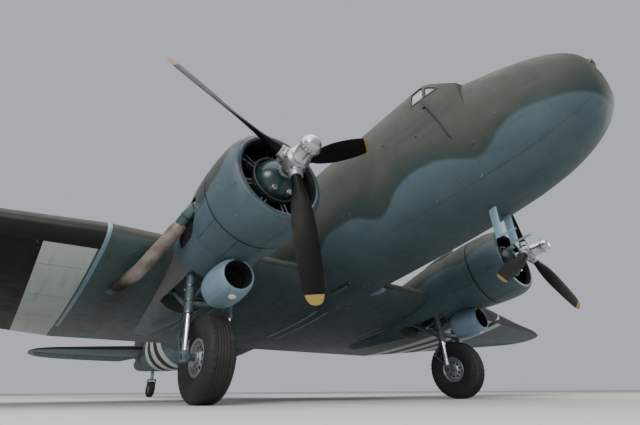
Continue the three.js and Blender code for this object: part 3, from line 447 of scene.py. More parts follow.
class Graph:
    """The node tree of one material, built by short calls."""

    def __init__(self, name):
        self.material = bpy.data.materials.new(name)
        self.material.use_nodes = True
        self.nodes, self.links = self.material.node_tree.nodes, self.material.node_tree.links
        self.shader = self.nodes["Principled BSDF"]
        mapping = self.node("Mapping", Vector=self.node("TexCoord").outputs["Object"])
        c, s = math.cos(PITCH), math.sin(PITCH)
        mapping.inputs["Rotation"].default_value = (PITCH, 0, 0)
        mapping.inputs["Location"].default_value = (0, s * SHIFT_Z - c * SHIFT_Y, -s * SHIFT_Y - c * SHIFT_Z)
        self.level = mapping.outputs[0]
        self.x, self.y, self.z = self.node("SeparateXYZ", Vector=self.level).outputs
        spot = self.node("Attribute")
        spot.attribute_name = "skin"
        self.u, self.v, _ = self.node("SeparateXYZ", Vector=spot.outputs["Vector"]).outputs

    def wire(self, socket, value):
        if isinstance(value, bpy.types.NodeSocket):
            self.links.new(value, socket)
        else:
            socket.default_value = value

    def node(self, kind, **inputs):
        made = self.nodes.new("ShaderNode" + kind)
        for name, value in inputs.items():
            self.wire(made.inputs[name], value)
        return made

    def math(self, operation, *values):
        made = self.node("Math")
        made.operation = operation
        for socket, value in zip(made.inputs, values):
            self.wire(socket, value)
        return made.outputs[0]

    def mix(self, factor, a, b):
        made = self.node("Mix")
        made.data_type = "RGBA"
        for socket, value in zip((made.inputs[0], made.inputs[6], made.inputs[7]), (factor, a, b)):
            self.wire(socket, value)
        return made.outputs[2]

    def noise(self, scale, detail, stretch=None):
        """Noise in level space; scale is per metre, and stretch scales x, y and z."""
        vector = self.level
        if stretch:
            mapping = self.node("Mapping", Vector=self.level)
            mapping.inputs["Scale"].default_value = stretch
            vector = mapping.outputs[0]
        return self.node("TexNoise", Vector=vector, Scale=scale, Detail=detail).outputs["Fac"]

    def step(self, value, low, high):
        made = self.node("MapRange", Value=value)
        made.interpolation_type = "SMOOTHSTEP"
        made.inputs["From Min"].default_value, made.inputs["From Max"].default_value = low, high
        return made.outputs[0]

    def curve(self, value, stops, top):
        """A height along a value through stops (value, height), both eased; heights reach up to top."""
        start, end = stops[0][0], stops[-1][0]
        ramp = self.node("ValToRGB", Fac=self.math("DIVIDE", self.math("SUBTRACT", value, start),
                                                   end - start))
        ramp.color_ramp.interpolation = "EASE"
        elements = ramp.color_ramp.elements
        for (at, height), element in zip(stops, (elements[0], elements[1])):
            element.position, element.color = (at - start) / (end - start), (height / top,) * 3 + (1,)
        for at, height in stops[2:]:
            elements.new((at - start) / (end - start)).color = (height / top,) * 3 + (1,)
        return self.math("MULTIPLY", ramp.outputs[0], top)

    def line(self, value, pitch, width, first):
        """1 within half a width of the first line and of each one a pitch further on, in metres."""
        along = self.math("ADD", value, 2 * pitch - first)
        apart = self.math("PINGPONG", self.math("ADD", along, pitch / 2), pitch / 2)
        return self.math("GREATER_THAN", apart, (pitch - width) / 2)


def surface(name, colour, rough, metal=0.0, tone=0.14, scale=0.9, streak=0.3, chips=0.0,
            grime="#23241f", chip="#8f938f", lines=(), fade=0.0, bump=0.12, grain=40.0, gloss=0.5,
            extra=None):
    """A material with drifts of tone, streaks along the airflow, chips, panel lines and fine relief."""
    g = Graph(name)
    base = colour(g) if callable(colour) else rgb(colour)
    drift = g.step(g.noise(scale, 5.0), 0.3, 0.7)
    shade = g.node("HueSaturation", Color=base)
    g.wire(shade.inputs["Value"], g.math("MULTIPLY_ADD", drift, 2 * tone, 1 - tone))
    out = shade.outputs[0]
    if fade:
        pale = g.node("HueSaturation", Color=base, Saturation=0.55, Value=1.35).outputs[0]
        out = g.mix(g.math("MULTIPLY", g.step(g.noise(2.6, 6.0), 0.5, 0.75), fade), out, pale)
    if streak:
        run = g.step(g.noise(2.2, 4.0, (3.2, 0.35, 3.2)), 0.52, 0.78)
        out = g.mix(g.math("MULTIPLY", run, streak), out, rgb(grime))
    height = g.noise(grain, 3.0)
    if lines:
        seams = None
        for axis, pitch, width, first in lines:
            seam = g.line(g.u if axis == "u" else g.v, pitch, width, first)
            seams = seam if seams is None else g.math("MAXIMUM", seams, seam)
        out = g.mix(g.math("MULTIPLY", seams, 0.5), out, rgb(grime))
        height = g.math("SUBTRACT", height, seams)
    if extra:
        out = extra(g, out)
    if chips:
        bare = g.math("MULTIPLY", g.step(g.noise(14.0, 5.0), 0.68, 0.71),
                      g.step(g.noise(1.3, 2.0), 0.5, 0.62))
        out = g.mix(g.math("MULTIPLY", bare, chips), out, rgb(chip))
    g.wire(g.shader.inputs["Base Color"], out)
    g.wire(g.shader.inputs["Roughness"], g.math("MULTIPLY_ADD", g.noise(6.0, 4.0), 0.3, rough - 0.15))
    g.shader.inputs["Metallic"].default_value = metal
    g.shader.inputs["Specular IOR Level"].default_value = gloss
    relief = g.node("Bump", Strength=bump, Distance=0.002, Height=height)
    g.wire(g.shader.inputs["Normal"], relief.outputs[0])
    MATERIALS[name] = g.material


OLIVE, DARK_GREEN, GREY = "#3b3e39", "#2d3937", "#44575f"


def two_tone(stops, swing, pitch, first, overspray=0.22, outer_stops=None):
    """Olive over grey, parted by a sprayed wave with dark green above it; stops are (y, height) in metres.

    outer_stops replace the stops on the outboard side of a nacelle."""
    def colour(g):
        base = g.curve(g.y, stops, 3.0)
        if outer_stops:
            outboard = g.step(g.math("ABSOLUTE", g.x), 2.7, 2.94)
            drop = g.math("SUBTRACT", g.curve(g.y, outer_stops, 3.0), base)
            base = g.math("ADD", base, g.math("MULTIPLY", outboard, drop))
        phase = g.math("MULTIPLY", g.math("SUBTRACT", g.y, first), 2 * math.pi / pitch)
        wave = g.math("COSINE", g.math("ADD", phase, g.math("MULTIPLY", g.math("SINE", phase), -0.45)))
        edge = g.math("ADD", base, g.math("MULTIPLY", wave, swing))
        edge = g.math("ADD", edge, g.math("MULTIPLY_ADD", g.noise(1.1, 1.0), 0.16, -0.08))
        above = g.math("SUBTRACT", g.z, edge)
        reach = g.math("MULTIPLY_ADD", g.noise(0.8, 2.0), 0.9, overspray - 0.45)
        top = g.mix(g.step(g.math("SUBTRACT", above, reach), -0.16, 0.16), rgb(DARK_GREEN), rgb(OLIVE))
        return g.mix(g.step(above, -0.035, 0.035), rgb(GREY), top)
    return colour


def heat_stained(g):
    """Exhaust steel: pale and pinkish where it is hot, brown further on, black at the open end."""
    blotch = g.step(g.noise(4.0, 5.0, (1, 0.35, 1)), 0.4, 0.7)
    base = g.mix(blotch, rgb("#8d8580"), rgb("#6d5f57"))
    ash = g.step(g.noise(3.0, 4.0, (1, 0.4, 1)), 0.5, 0.7)
    base = g.mix(g.math("MULTIPLY", ash, 0.6), base, rgb("#a39d98"))
    return g.mix(g.step(g.y, 5.15, 5.42), base, rgb("#191614"))


def soot(g, out):
    """Dark streams behind the two tailpipes, under and over the wing."""
    off = g.math("ABSOLUTE", g.math("SUBTRACT", g.math("ABSOLUTE", g.x), 3.75))
    wide = g.step(g.math("MULTIPLY_ADD", g.noise(1.8, 3.0, (1, 0.3, 1)), 0.25, off), 0.5, 0.1)
    along = g.math("MULTIPLY", g.step(g.y, 5.4, 5.9), g.step(g.y, 9.6, 6.5))
    return g.mix(g.math("MULTIPLY", g.math("MULTIPLY", wide, along), 0.55), out, rgb("#15140f"))


def belly_painted_shade(g, out):
    """Painted shade that darkens the lower third of the fuselage, where the belly lies in shade."""
    low = g.step(g.math("MULTIPLY_ADD", g.noise(1.6, 4.0, (1, 0.4, 1)), 0.3, g.z), 0.95, 0.15)
    return g.mix(g.math("MULTIPLY", low, 0.42), out, rgb("#1b2224"))


def scorch(g, out):
    """Pinkish grey where the exhaust has burnt the outboard side of a nacelle."""
    outboard = g.step(g.math("ABSOLUTE", g.x), 3.08, 3.22)
    along = g.math("MULTIPLY", g.step(g.y, 4.75, 5.1), g.step(g.y, 7.4, 6.0))
    below = g.step(g.math("MULTIPLY_ADD", g.noise(3.0, 3.0), 0.25, g.z), 0.45, 0.15)
    share = g.math("MULTIPLY", g.math("MULTIPLY", outboard, along), below)
    return g.mix(g.math("MULTIPLY", share, 0.55), out, rgb("#6d625c"))


MATERIALS = {}
FUSELAGE_SEAMS = [("v", 0.98, 0.0035, 0.55), ("u", 1.48, 0.009, 0.68)]
WING_SEAMS = [("v", 1.27, 0.009, 0.42), ("u", 1.03, 0.014, 0.78)]
WAVE = [(0, 0.66), (4.9, 0.60), (9.2, 0.66), (12.4, 0.76), (13.6, 0.98), (15.0, 1.26), (16.5, 1.52),
        (19.0, 1.9)]
NACELLE_WAVE = [(2.9, 0.74), (4.2, 0.60), (5.6, 0.50), (8.4, 0.42)]
NACELLE_OUTER_WAVE = [(2.9, 0.78), (3.35, 0.38), (3.75, 0.34), (4.3, 0.56), (5.6, 0.62), (8.4, 0.42)]
# The fuselage paint carries painted shade on its lower third.
surface("fuselage_paint", two_tone(WAVE, 0.13, 1.68, 2.32), 0.62, lines=FUSELAGE_SEAMS, fade=0.25, chips=0.3,
        gloss=0.3, extra=belly_painted_shade)
surface("nacelle_paint", two_tone(NACELLE_WAVE, 0.03, 1.3, 3.2, 0.1, NACELLE_OUTER_WAVE), 0.5,
        lines=[("v", 0.6, 0.008, 0.2)], fade=0.3, streak=0.4, chips=0.4, gloss=0.35, extra=scorch)
surface("olive_paint", OLIVE, 0.68, lines=WING_SEAMS, fade=0.35, chips=0.5, gloss=0.3, extra=soot)
surface("grey_paint", "#3f4f51", 0.55, lines=WING_SEAMS, fade=0.15, streak=0.4, chips=0.3, gloss=0.35,
        extra=soot)
surface("plain_olive", OLIVE, 0.68, fade=0.35, chips=0.5, gloss=0.3)
surface("plain_grey", GREY, 0.5, fade=0.2, streak=0.35, chips=0.4)
# Pale blue-grey for fittings; on the oil scoop it is painted highlight.
surface("pale_grey", "#6f8998", 0.42, fade=0.2, streak=0.3, chips=0.3)
surface("olive_fabric", OLIVE, 0.8, lines=[("v", 0.33, 0.035, 0.1)], fade=0.4, streak=0.2, bump=0.3,
        grain=120.0)
surface("grey_fabric", GREY, 0.75, lines=[("v", 0.33, 0.035, 0.1)], fade=0.2, streak=0.3, bump=0.3,
        grain=120.0)
surface("white_band", "#a9b3b0", 0.6, lines=WING_SEAMS, tone=0.06, streak=0.3, chips=0.4, chip="#5b5f5c",
        gloss=0.35, extra=soot)
surface("black_band", "#0e1011", 0.6, lines=WING_SEAMS, tone=0.2, streak=0.25, chips=0.4, grime="#2a2b29",
        gloss=0.2)
surface("boot_rubber", "#0f1112", 0.5, tone=0.2, streak=0.35, grime="#2d2e2c", bump=0.3, grain=60.0,
        gloss=0.25)
surface("tyre_rubber", "#1a1a1a", 0.72, tone=0.25, scale=3.0, streak=0.3, grime="#4c463c", bump=0.4,
        grain=90.0)
surface("propeller_black", "#070707", 0.5, tone=0.2, streak=0.0, bump=0.0, gloss=0.15)
surface("tip_yellow", "#86743f", 0.55, tone=0.1, streak=0.0, bump=0.0, gloss=0.25)
surface("bright_alloy", "#c3c6c8", 0.3, 1.0, tone=0.1, scale=4.0, streak=0.25, grime="#5b5a55", bump=0.08)
surface("dull_alloy", "#9da2a5", 0.42, 0.85, tone=0.15, scale=3.0, streak=0.35, grime="#4b4a44")
surface("chrome", "#d8dadb", 0.12, 1.0, tone=0.05, streak=0.1, bump=0.02)
surface("cowl_lip", "#4d5a60", 0.3, 0.5, tone=0.2, scale=3.0, streak=0.4, chips=0.8)
surface("steel", "#777a7c", 0.42, 0.9, tone=0.2, scale=5.0, streak=0.4, grime="#3a342c")
surface("dark_steel", "#3a3b3c", 0.5, 0.6, tone=0.25, scale=6.0, streak=0.4, grime="#1c1a17")
surface("exhaust_metal", heat_stained, 0.6, 0.35, tone=0.25, scale=3.0, streak=0.5, grime="#33261e", bump=0.2,
        grain=30.0)
surface("collector_metal", "#4f6462", 0.45, 0.6, tone=0.25, scale=4.0, streak=0.6, grime="#2c2a22")
surface("gearcase_paint", "#1d333a", 0.3, 0.1, tone=0.12, scale=5.0, streak=0.25, grime="#20221f")
surface("cylinder_metal", "#2b2d2f", 0.45, 0.7, tone=0.25, scale=9.0, streak=0.5, grime="#1d1b18")
surface("interior_green", "#6f7850", 0.7, lines=[("v", 0.48, 0.01, 0.1)], tone=0.15, streak=0.2, chips=0.5)
surface("floor_metal", "#7c8172", 0.5, 0.6, lines=[("v", 0.3, 0.006, 0.1)], tone=0.2, scale=3.0, streak=0.5,
        chips=0.8)
surface("seat_metal", "#7f867b", 0.5, 0.6, tone=0.2, scale=6.0, streak=0.3, chips=0.6)
surface("instrument_black", "#15171a", 0.55, tone=0.2, scale=8.0, bump=0.3, grain=200.0)
surface("dial_face", "#d9d9cf", 0.4, tone=0.05, streak=0.0)
surface("well_dark", "#3b4238", 0.7, tone=0.3, scale=3.0, streak=0.5, chips=0.5)
surface("black_rubber", "#111213", 0.6, tone=0.2, scale=5.0, bump=0.2, grain=150.0)
surface("red_plug", "#9c2b22", 0.5, tone=0.15, scale=8.0)
# Painted shade: flat black on the insides of openings, gaps, coves and recesses, and on the cowl's lining,
# where there is only shade.
surface("void_black", "#060606", 0.9, tone=0.2, streak=0.0)
surface("lamp_reflector", "#e6e8ea", 0.1, 1.0, tone=0.03, streak=0.0, bump=0.02)


def glass(name, tint, rough, alpha):
    g = Graph(name)
    dust = g.step(g.noise(3.0, 5.0), 0.45, 0.8)
    g.wire(g.shader.inputs["Base Color"], g.mix(g.math("MULTIPLY", dust, 0.5), rgb(tint), rgb("#9a9c94")))
    g.wire(g.shader.inputs["Roughness"], g.math("MULTIPLY_ADD", dust, 0.2, rough))
    g.wire(g.shader.inputs["Alpha"], g.math("MULTIPLY_ADD", dust, 0.12, alpha))
    g.shader.inputs["IOR"].default_value = 1.5
    MATERIALS[name] = g.material


glass("window_glass", "#b9c4c6", 0.2, 0.48)
glass("lamp_glass", "#dfe6e6", 0.05, 0.3)
glass("red_glass", "#b01f16", 0.05, 0.75)
glass("green_glass", "#1f8a4a", 0.05, 0.75)


# Fuselage

BANDS = [12750, 13240, 13730, 14220, 14710, 15200]


def banded(value, edges, plain):
    """White and black by turns between the edges, and the plain finish elsewhere."""
    for i, (a, b) in enumerate(zip(edges, edges[1:])):
        if a < value < b:
            return "black_band" if i % 2 else "white_band"
    return plain


def fuselage_finish(y):
    return banded(y, BANDS, "fuselage_paint")


def hull(table, start, end, grow, count, finish="fuselage_paint", sides=HULL_SIDES, x=0, rows=None, extra=()):
    """A closed skin along a table of sections; finish is a name or a function of y."""
    at = stations(table, start, end, count, extra)
    rows = [row_at(table, y) for y in at] if rows is None else rows
    rings = [ring(row, grow, sides, x) for row in rows]
    middle = rings[len(rings) // 2][:, [0, 2]]
    run = np.concatenate([[0], np.cumsum(np.hypot(*np.diff(np.vstack([middle, middle[:1]]), axis=0).T))])
    bottom = run[3 * sides // 4]
    around = np.abs(run[:-1] - bottom)
    around = np.minimum(around, run[-1] - around) * MM
    skin = [(u, r[0, 1] * MM) for r in rings for u in around]

    def pick(i, j):
        return finish((rings[i][0, 1] + rings[i + 1][0, 1]) / 2)

    return Shape().loft(rings, finish if isinstance(finish, str) else pick, skin)


def side_prism(sign, outlines, finish):
    """Prisms across the side through outlines of [y, z]."""
    shape = Shape()
    for outline in outlines:
        rings = [[(sign * x, y, z) for y, z in outline] for x in (300, 1700)]
        shape.loft(rings, finish)
    return shape


def rounded(y0, z0, y1, z1, radius):
    """A rectangle with round corners."""
    points, steps = [], 6
    for cy, cz, turn in ((y1, z1, 0), (y0, z1, 1), (y0, z0, 2), (y1, z0, 3)):
        centre_y = cy + (radius if cy == y0 else -radius)
        centre_z = cz + (radius if cz == z0 else -radius)
        for k in range(steps + 1):
            angle = (turn + k / steps) * math.pi / 2
            points.append((centre_y + radius * math.cos(angle), centre_z + radius * math.sin(angle)))
    return points


# The windscreen's port plane: its origin, directions along and up the plane, and its normal
PANE_LOW = np.array([0.0, 1375.0, 2070.0])
PANE_ACROSS = np.array([760.0, 243.0, -45.0]) / np.linalg.norm([760, 243, -45])
PANE_NORMAL = np.array([0.2579, -0.6794, 0.6869]) / np.linalg.norm([0.2579, -0.6794, 0.6869])
PANE_UP = np.cross(PANE_NORMAL, PANE_ACROSS) / np.linalg.norm(np.cross(PANE_NORMAL, PANE_ACROSS))
FRONT_PANE = [[62, 60], [730, 60], [730, 190], [560, 330], [62, 585]]
POST = 42


def pane_prism(outline, d0, d1, finish, keep_x=None):
    """A prism on the port windscreen plane, between two distances along its normal."""
    rings = [[PANE_LOW + u * PANE_ACROSS + v * PANE_UP + d * PANE_NORMAL for u, v in outline]
             for d in (d0, d1)]
    made = solid(Shape().loft(rings, finish))
    if keep_x is not None:
        boolean(made, [Shape().block((keep_x, 0, 0), (2000, 5000, 5000), finish, SQUARE)], "INTERSECT")
    return made


def ahead_of_pane(shift, finish):
    square = [[-2500, -2500], [2500, -2500], [2500, 2500], [-2500, 2500]]
    port = pane_prism(square, shift, 2500, finish)
    boolean(port, [Shape().block((0, -3000, -3000), (4000, 6000, 6000), finish, SQUARE)], "INTERSECT")
    return boolean(port, [twin_of(port)], "UNION")


def scaled(outline, grow):
    """An outline moved outwards by a distance, corner by corner."""
    points = np.asarray(outline, float)
    turns = np.sign(np.cross(points[1] - points[0], points[2] - points[1]))
    moved = []
    for i, point in enumerate(points):
        before, after = point - points[i - 1], points[(i + 1) % len(points)] - point
        n0 = np.array([before[1], -before[0]]) / np.linalg.norm(before) * turns
        n1 = np.array([after[1], -after[0]]) / np.linalg.norm(after) * turns
        bisector = n0 + n1
        moved.append(point + grow * 2 * bisector / np.dot(bisector, bisector))
    return [tuple(p) for p in moved]


SIDE_PANES = [
    [(1640, 1878), (1832, 1878), (1836, 1882), (1836, 2120), (1828, 2122), (1630, 1888)],
    [(1864, 1878), (2075, 1878), (2082, 1885), (2082, 2218), (2074, 2227), (1922, 2227), (1912, 2222),
     (1864, 2165)],
]
SIDE_GLASS = [(1616, 1875.5), (2084.5, 1875.5), (2084.5, 2229.5), (1915.5, 2229.5)]


def nose():
    rows = [row_at(NOSE, y) for y in stations(NOSE, NOSE_ROWS[0][0], NOSE_ROWS[-1][0], 46)]
    rows += [row_at(MAIN, y) for y in stations(MAIN, MAIN_ROWS[0][0], NOSE_END - SEAM, 40)]
    body = solid(hull(MAIN, 0, 1, 0, 2, rows=rows))
    deck = solid(hull(DECK, 1340, 2500, 0, 40))
    screen = ahead_of_pane(0, "plain_olive")
    boolean(screen, [Shape().block((-1400, 1349, 1200), (1400, 3000, 3000), "fuselage_paint", SQUARE)],
            "INTERSECT")
    boolean(screen, [deck])
    room = solid(hull(MAIN, COCKPIT_FRONT, NOSE_END + 50, -45, 40, "interior_green"))
    boolean(room, [ahead_of_pane(-45, "interior_green")])
    holes = []
    for sign in (1, -1):
        hole = pane_prism(FRONT_PANE, -150, 100, "black_rubber", POST)
        if sign < 0:
            mirrored(hole)
        holes += [hole, solid(side_prism(sign, SIDE_PANES, "black_rubber"))]
    boolean(body, [screen, room] + holes)
    place(body, "nose_skin", replaces=["nose_section"])

    for sign, tag in SIDES:
        pane = pane_prism(scaled(FRONT_PANE, -0.5), -26, -16, "window_glass", POST + 0.5)
        trim = pane_prism(scaled(FRONT_PANE, 26), -8, 5, "black_rubber", POST - 26)
        boolean(trim, [pane_prism(scaled(FRONT_PANE, -9), -60, 60, "black_rubber", POST + 9)])
        if sign < 0:
            mirrored(pane)
            mirrored(trim)
        place(pane, "windscreen_glass_" + tag, replaces=["windscreen_" + tag])
        place(trim, "windscreen_frame_" + tag)
        sheet = solid(hull(MAIN, 1400, 2500, -16, 40, "window_glass"))
        inner = solid(hull(MAIN, 1390, 2510, -24, 40, "window_glass"))
        boolean(sheet, [inner])
        boolean(sheet, [side_prism(sign, [SIDE_GLASS], "window_glass")], "INTERSECT")
        place(sheet, "side_glass_" + tag, replaces=["side_window_" + tag])
        frame_trim(sign, SIDE_PANES, 1400, 2500, "side_window_frame_" + tag, 16, "black_rubber")


def frame_trim(sign, outlines, start, end, name, width, finish):
    """Raised rims round holes in the fuselage side."""
    rim = solid(hull(MAIN, start, end, 6, 60, finish))
    boolean(rim, [hull(MAIN, start - 10, end + 10, -12, 60, finish)])
    boolean(rim, [merged_prisms(sign, [grown(o, width) for o in outlines], finish)], "INTERSECT")
    boolean(rim, [merged_prisms(sign, [grown(o, -7) for o in outlines], finish)])
    place(rim, name)


def merged_prisms(sign, outlines, finish):
    first = solid(side_prism(sign, outlines[:1], finish))
    others = [solid(side_prism(sign, [o], finish)) for o in outlines[1:]]
    return boolean(first, others, "UNION")


def grown(outline, grow):
    """A convex outline moved outwards from its own middle box, keeping its round corners."""
    points = np.asarray(outline, float)
    middle = (points.max(axis=0) + points.min(axis=0)) / 2
    half = (points.max(axis=0) - points.min(axis=0)) / 2
    return [tuple(middle + (p - middle) * (half + grow) / half) for p in points]


WINDOW_OUTLINES = [rounded(y - 205, 1410, y + 205, 1800, 70) for y in range(4620, 4620 + 7 * 960, 960)]
DOORS = [
    {"name": "cargo_door_front", "y0": 11300, "y1": 12350, "z0": 705, "z1": 2090, "hinge": "y0"},
    {"name": "cargo_door_rear", "y0": 12350, "y1": 13400, "z0": 705, "z1": 2090, "hinge": "y1"},
    {"name": "crew_door", "y0": 3360, "y1": 4060, "z0": 760, "z1": 1960, "hinge": "y0"},
]


def side_x(y, z, grow=0):
    """Half width of the fuselage at a place on its side."""
    _, half, top, bottom, middle, fullness = row_at(MAIN, y)
    if z >= middle:
        rise, power = (z - middle) / (top - middle + grow), fullness
    else:
        rise, power = (middle - z) / (middle - bottom + grow), 2 / LOWER_POWER
    return (half + grow) * max(0.0, 1 - rise**power) ** (1 / power)


def hinge_of(spec):
    """Where a door's hinge line stands: y, and x just outside the skin."""
    edge = spec[spec["hinge"]]
    return edge, row_at(np.array(MAIN_ROWS, float), edge)[1] + 16


def door_parts(spec):
    """Hinge knuckles with their brackets: those on the leaf and those on the body."""
    edge, x = hinge_of(spec)
    inward = 1 if spec["hinge"] == "y0" else -1
    moving, fixed = Shape(), Shape()
    for z in (spec["z0"] + 420, spec["z1"] - 300):
        for way, part, low in ((inward, moving, z + 0.5), (-inward, fixed, z - 119.5)):
            high = low + 119
            part.bar((x, edge, low), (x, edge, high), 13, 13, "steel", 20)
            foot_y = edge + way * 88
            points = []
            for at_z in (low + 6, high - 6):
                foot = side_x(foot_y, at_z)
                root = side_x(edge + way * 4, at_z)
                points += [(x - 9, edge + way * 3, at_z), (x + 9, edge + way * 3, at_z),
                           (foot + 5, foot_y, at_z), (foot - 30, foot_y, at_z),
                           (root - 25, edge + way * 4, at_z)]
            part.convex(points, "plain_olive")
            bolt_y = edge + way * 66
            bolts = [(side_x(bolt_y, at_z) + 5, bolt_y, at_z) for at_z in (low + 25, high - 25)]
            part.studs(bolts, PORT, 7, 9, "steel")
    return moving, fixed


def cabin():
    shell = solid(hull(MAIN, NOSE_END + SEAM, CABIN_END - SEAM, 0, 90, fuselage_finish, extra=BANDS))
    inner = solid(hull(MAIN, NOSE_END - 50, CABIN_END + 50, -38, 70, "interior_green"))
    windows = [side_prism(s, WINDOW_OUTLINES, "black_rubber") for s in (1, -1)]
    boolean(shell, [inner, centre_wing(FIT, "interior_green")] + windows)
    fixed_all = Shape()
    holes = []
    for spec in DOORS:
        y0, y1, z0, z1 = (spec[k] for k in ("y0", "y1", "z0", "z1"))
        edge, x = hinge_of(spec)
        span = y1 - y0 - 5
        disc = [[ON_AXIS, 0], [span, 0], [span, 3000], [ON_AXIS, 3000]]
        sweep = Shape().turned(disc, (x, edge, 0), UP, "dull_alloy", 200)
        outline = rounded(y0 + 5, z0 + 6, y1 - 5, z1 - 6, 40)
        leaf = copy_of(shell)
        boolean(leaf, [side_prism(1, [outline], "dull_alloy"), sweep], "INTERSECT")
        moving, fixed = door_parts(spec)
        free_y = y1 - 90 if spec["hinge"] == "y0" else y0 + 90
        dress_door(moving, spec, free_y)
        leaf = join_objects([largest(leaf), moving])
        place(leaf, spec["name"] + "_leaf", spec["name"], [spec["name"]])
        fixed_all.take(fixed)
        holes.append(solid(side_prism(1, [rounded(y0, z0, y1, z1, 42)], "dull_alloy")))
    hole = boolean(holes[0], holes[1:], "UNION")
    ribs = cabin_ribs()
    boolean(shell, [hole], keep=True)
    boolean(ribs, [hole])
    place(join_objects([largest(shell), fixed_all]), "cabin_skin",
          replaces=["cabin_roof", "cabin_side_port", "cabin_side_stbd", "belly_front", "belly_rear"])
    place(ribs, "cabin_ribs")
    for sign, tag in SIDES:
        frame_trim(sign, WINDOW_OUTLINES, 4300, 10800, "cabin_window_frames_" + tag, 20, "black_rubber")
        sheet = solid(hull(MAIN, 4300, 10800, -14, 60, "window_glass"))
        boolean(sheet, [hull(MAIN, 4290, 10810, -20, 60, "window_glass")])
        boolean(sheet, [side_prism(sign, [grown(o, -0.5) for o in WINDOW_OUTLINES], "window_glass")],
                "INTERSECT")
        place(sheet, "cabin_windows_" + tag)


def dress_door(part, spec, free_y):
    """Outside handle with its pan, inside pressed ribs."""
    middle_z = (spec["z0"] + spec["z1"]) / 2
    x = side_x(free_y, middle_z)
    part.block((x - 4, free_y - 55, middle_z - 26), (x + 3, free_y + 55, middle_z + 26), "dull_alloy", 2)
    part.bar((x, free_y - 30, middle_z), (x + 16, free_y - 30, middle_z), 9, 9, "steel", 16)
    part.block((x + 12, free_y - 42, middle_z - 9), (x + 20, free_y + 60, middle_z + 9), "steel", 3)
    y0, y1 = spec["y0"] + 60, spec["y1"] - 60
    for k in range(4):
        z = spec["z0"] + 110 + k * (spec["z1"] - spec["z0"] - 220) / 3
        points = []
        for y in (y0, y1):
            for zz, depth in ((z - 30, 36), (z + 30, 36), (z - 14, 58), (z + 14, 58)):
                points.append((side_x(y, zz) - depth, y, zz))
        part.convex(points, "interior_green")


def cabin_ribs():
    """Hoops on the inside of the cabin, left out at the windows and under the floor."""
    shape = Shape()
    for y in np.arange(3380, 14900, 480):
        rows = [row_at(MAIN, y + d) for d in (-14, 14)]
        outer, inner = [[ring(r, g) for r in rows] for g in (-37, -72)]
        shape.loft([outer[0], outer[1], inner[1], inner[0], outer[0]], "interior_green", caps=False)
    ribs = solid(shape)
    outlines = [grown(o, 12) for o in WINDOW_OUTLINES]
    cutters = [side_prism(s, outlines, "interior_green") for s in (1, -1)]
    cutters.append(Shape().block((-1500, 3000, -300), (1500, 15100, 691), "interior_green", SQUARE))
    return boolean(ribs, cutters)


def largest(body):
    """Keeps the part of a piece with the most faces."""
    bm = bmesh.new()
    bm.from_mesh(body.data)
    left, islands = set(bm.verts), []
    while left:
        stack, island = [left.pop()], []
        while stack:
            vert = stack.pop()
            island.append(vert)
            for edge in vert.link_edges:
                other = edge.other_vert(vert)
                if other in left:
                    left.discard(other)
                    stack.append(other)
        islands.append(island)
    islands.sort(key=len)
    for island in islands[:-1]:
        bmesh.ops.delete(bm, geom=island, context="VERTS")
    bm.to_mesh(body.data)
    bm.free()
    return body


def join_objects(pieces):
    """One mesh with all the finishes of several pieces."""
    pieces = [piece_of(piece) for piece in pieces]
    first = pieces[0]
    chosen = {"selected_objects": pieces, "selected_editable_objects": pieces}
    with bpy.context.temp_override(active_object=first, object=first, **chosen):
        bpy.ops.object.join()
    return first


def tail():
    body = solid(hull(MAIN, CABIN_END + SEAM, TAIL_END, 0, 60, fuselage_finish, extra=BANDS))
    hitch = [[ON_AXIS, 0], [48, 0], [48, 170], [40, 186], [22, 190], [22, 150], [ON_AXIS, 150]]
    end = Shape().turned(hitch, (0, TAIL_END - 100, 1930), AFT, "steel", 32)
    place(join_objects([body, end]), "tail_skin", replaces=["tail_section"])


def tail_core(finish="fuselage_paint"):
    """The tail cone, larger by a fit, which cuts what stands on it."""
    return hull(MAIN, CABIN_END - 500, TAIL_END - 1, FIT, 50, finish)


# Wings and tail surfaces

# Share of the chord under the rubber boot
BOOT = 0.06


def chord_steps(extra):
    """Shares of the chord from trailing edge to leading edge, close together at the nose."""
    steps = 0.5 * (1 - np.cos(np.linspace(0, math.pi, 34)))
    steps = np.unique(np.concatenate([steps[1:], [0.0006, 0.002, 0.93], extra]))
    return steps[::-1]


def section(row, steps, grow, cambered):
    """Points round a wing section from the upper trailing edge over the nose to the lower one."""
    _, lead, trail = row[:3]
    length = trail - lead
    points = []
    for side, shares in ((1, steps), (-1, steps[::-1])):
        for u in shares:
            y = lead + u * length
            edge = side * 3 if u == 1 else 0
            shift = grow * ((1 if u == 1 else 0) if u > 0.5 else -(0.3 - min(u, 0.3)) / 0.3)
            z = float(surface_z(row, y, side, cambered)) + side * grow + edge
            points.append((y + shift, z))
    return points


def wing(rows, finish, grow=0.0, cambered=1, upright=False, extra=()):
    """A closed wing; finish is a name or a function of distance out, share of the chord and side."""
    steps = chord_steps(extra)
    rings, skin = [], []
    shares = np.concatenate([steps, steps[::-1]])
    for row in rows:
        outline = section(row, steps, grow, cambered)
        if upright:
            rings.append([(z - row[3], y, row[0]) for y, z in outline])
        else:
            rings.append([(row[0], y, z) for y, z in outline])
        skin += [(u * (row[2] - row[1]) * MM, row[0] * MM) for u in shares]
    half = len(steps)

    def pick(i, j):
        if isinstance(finish, str):
            return finish
        out = (rows[i][0] + rows[i + 1][0]) / 2
        share = (shares[j] + shares[(j + 1) % len(shares)]) / 2
        return finish(out, share, 1 if j < half else -1)

    return Shape().loft(rings, pick, skin)


def centre_wing(grow=0.0, finish=None):
    pick = finish or (lambda out, share, side: "olive_paint" if side > 0 else "grey_paint")
    reach = WING_JOINT_X - WING_SEAM
    rows = [[x] + WING_CENTRE_ROW[1:] for x in np.linspace(-reach, reach, 30)]
    return wing(rows, pick, grow)


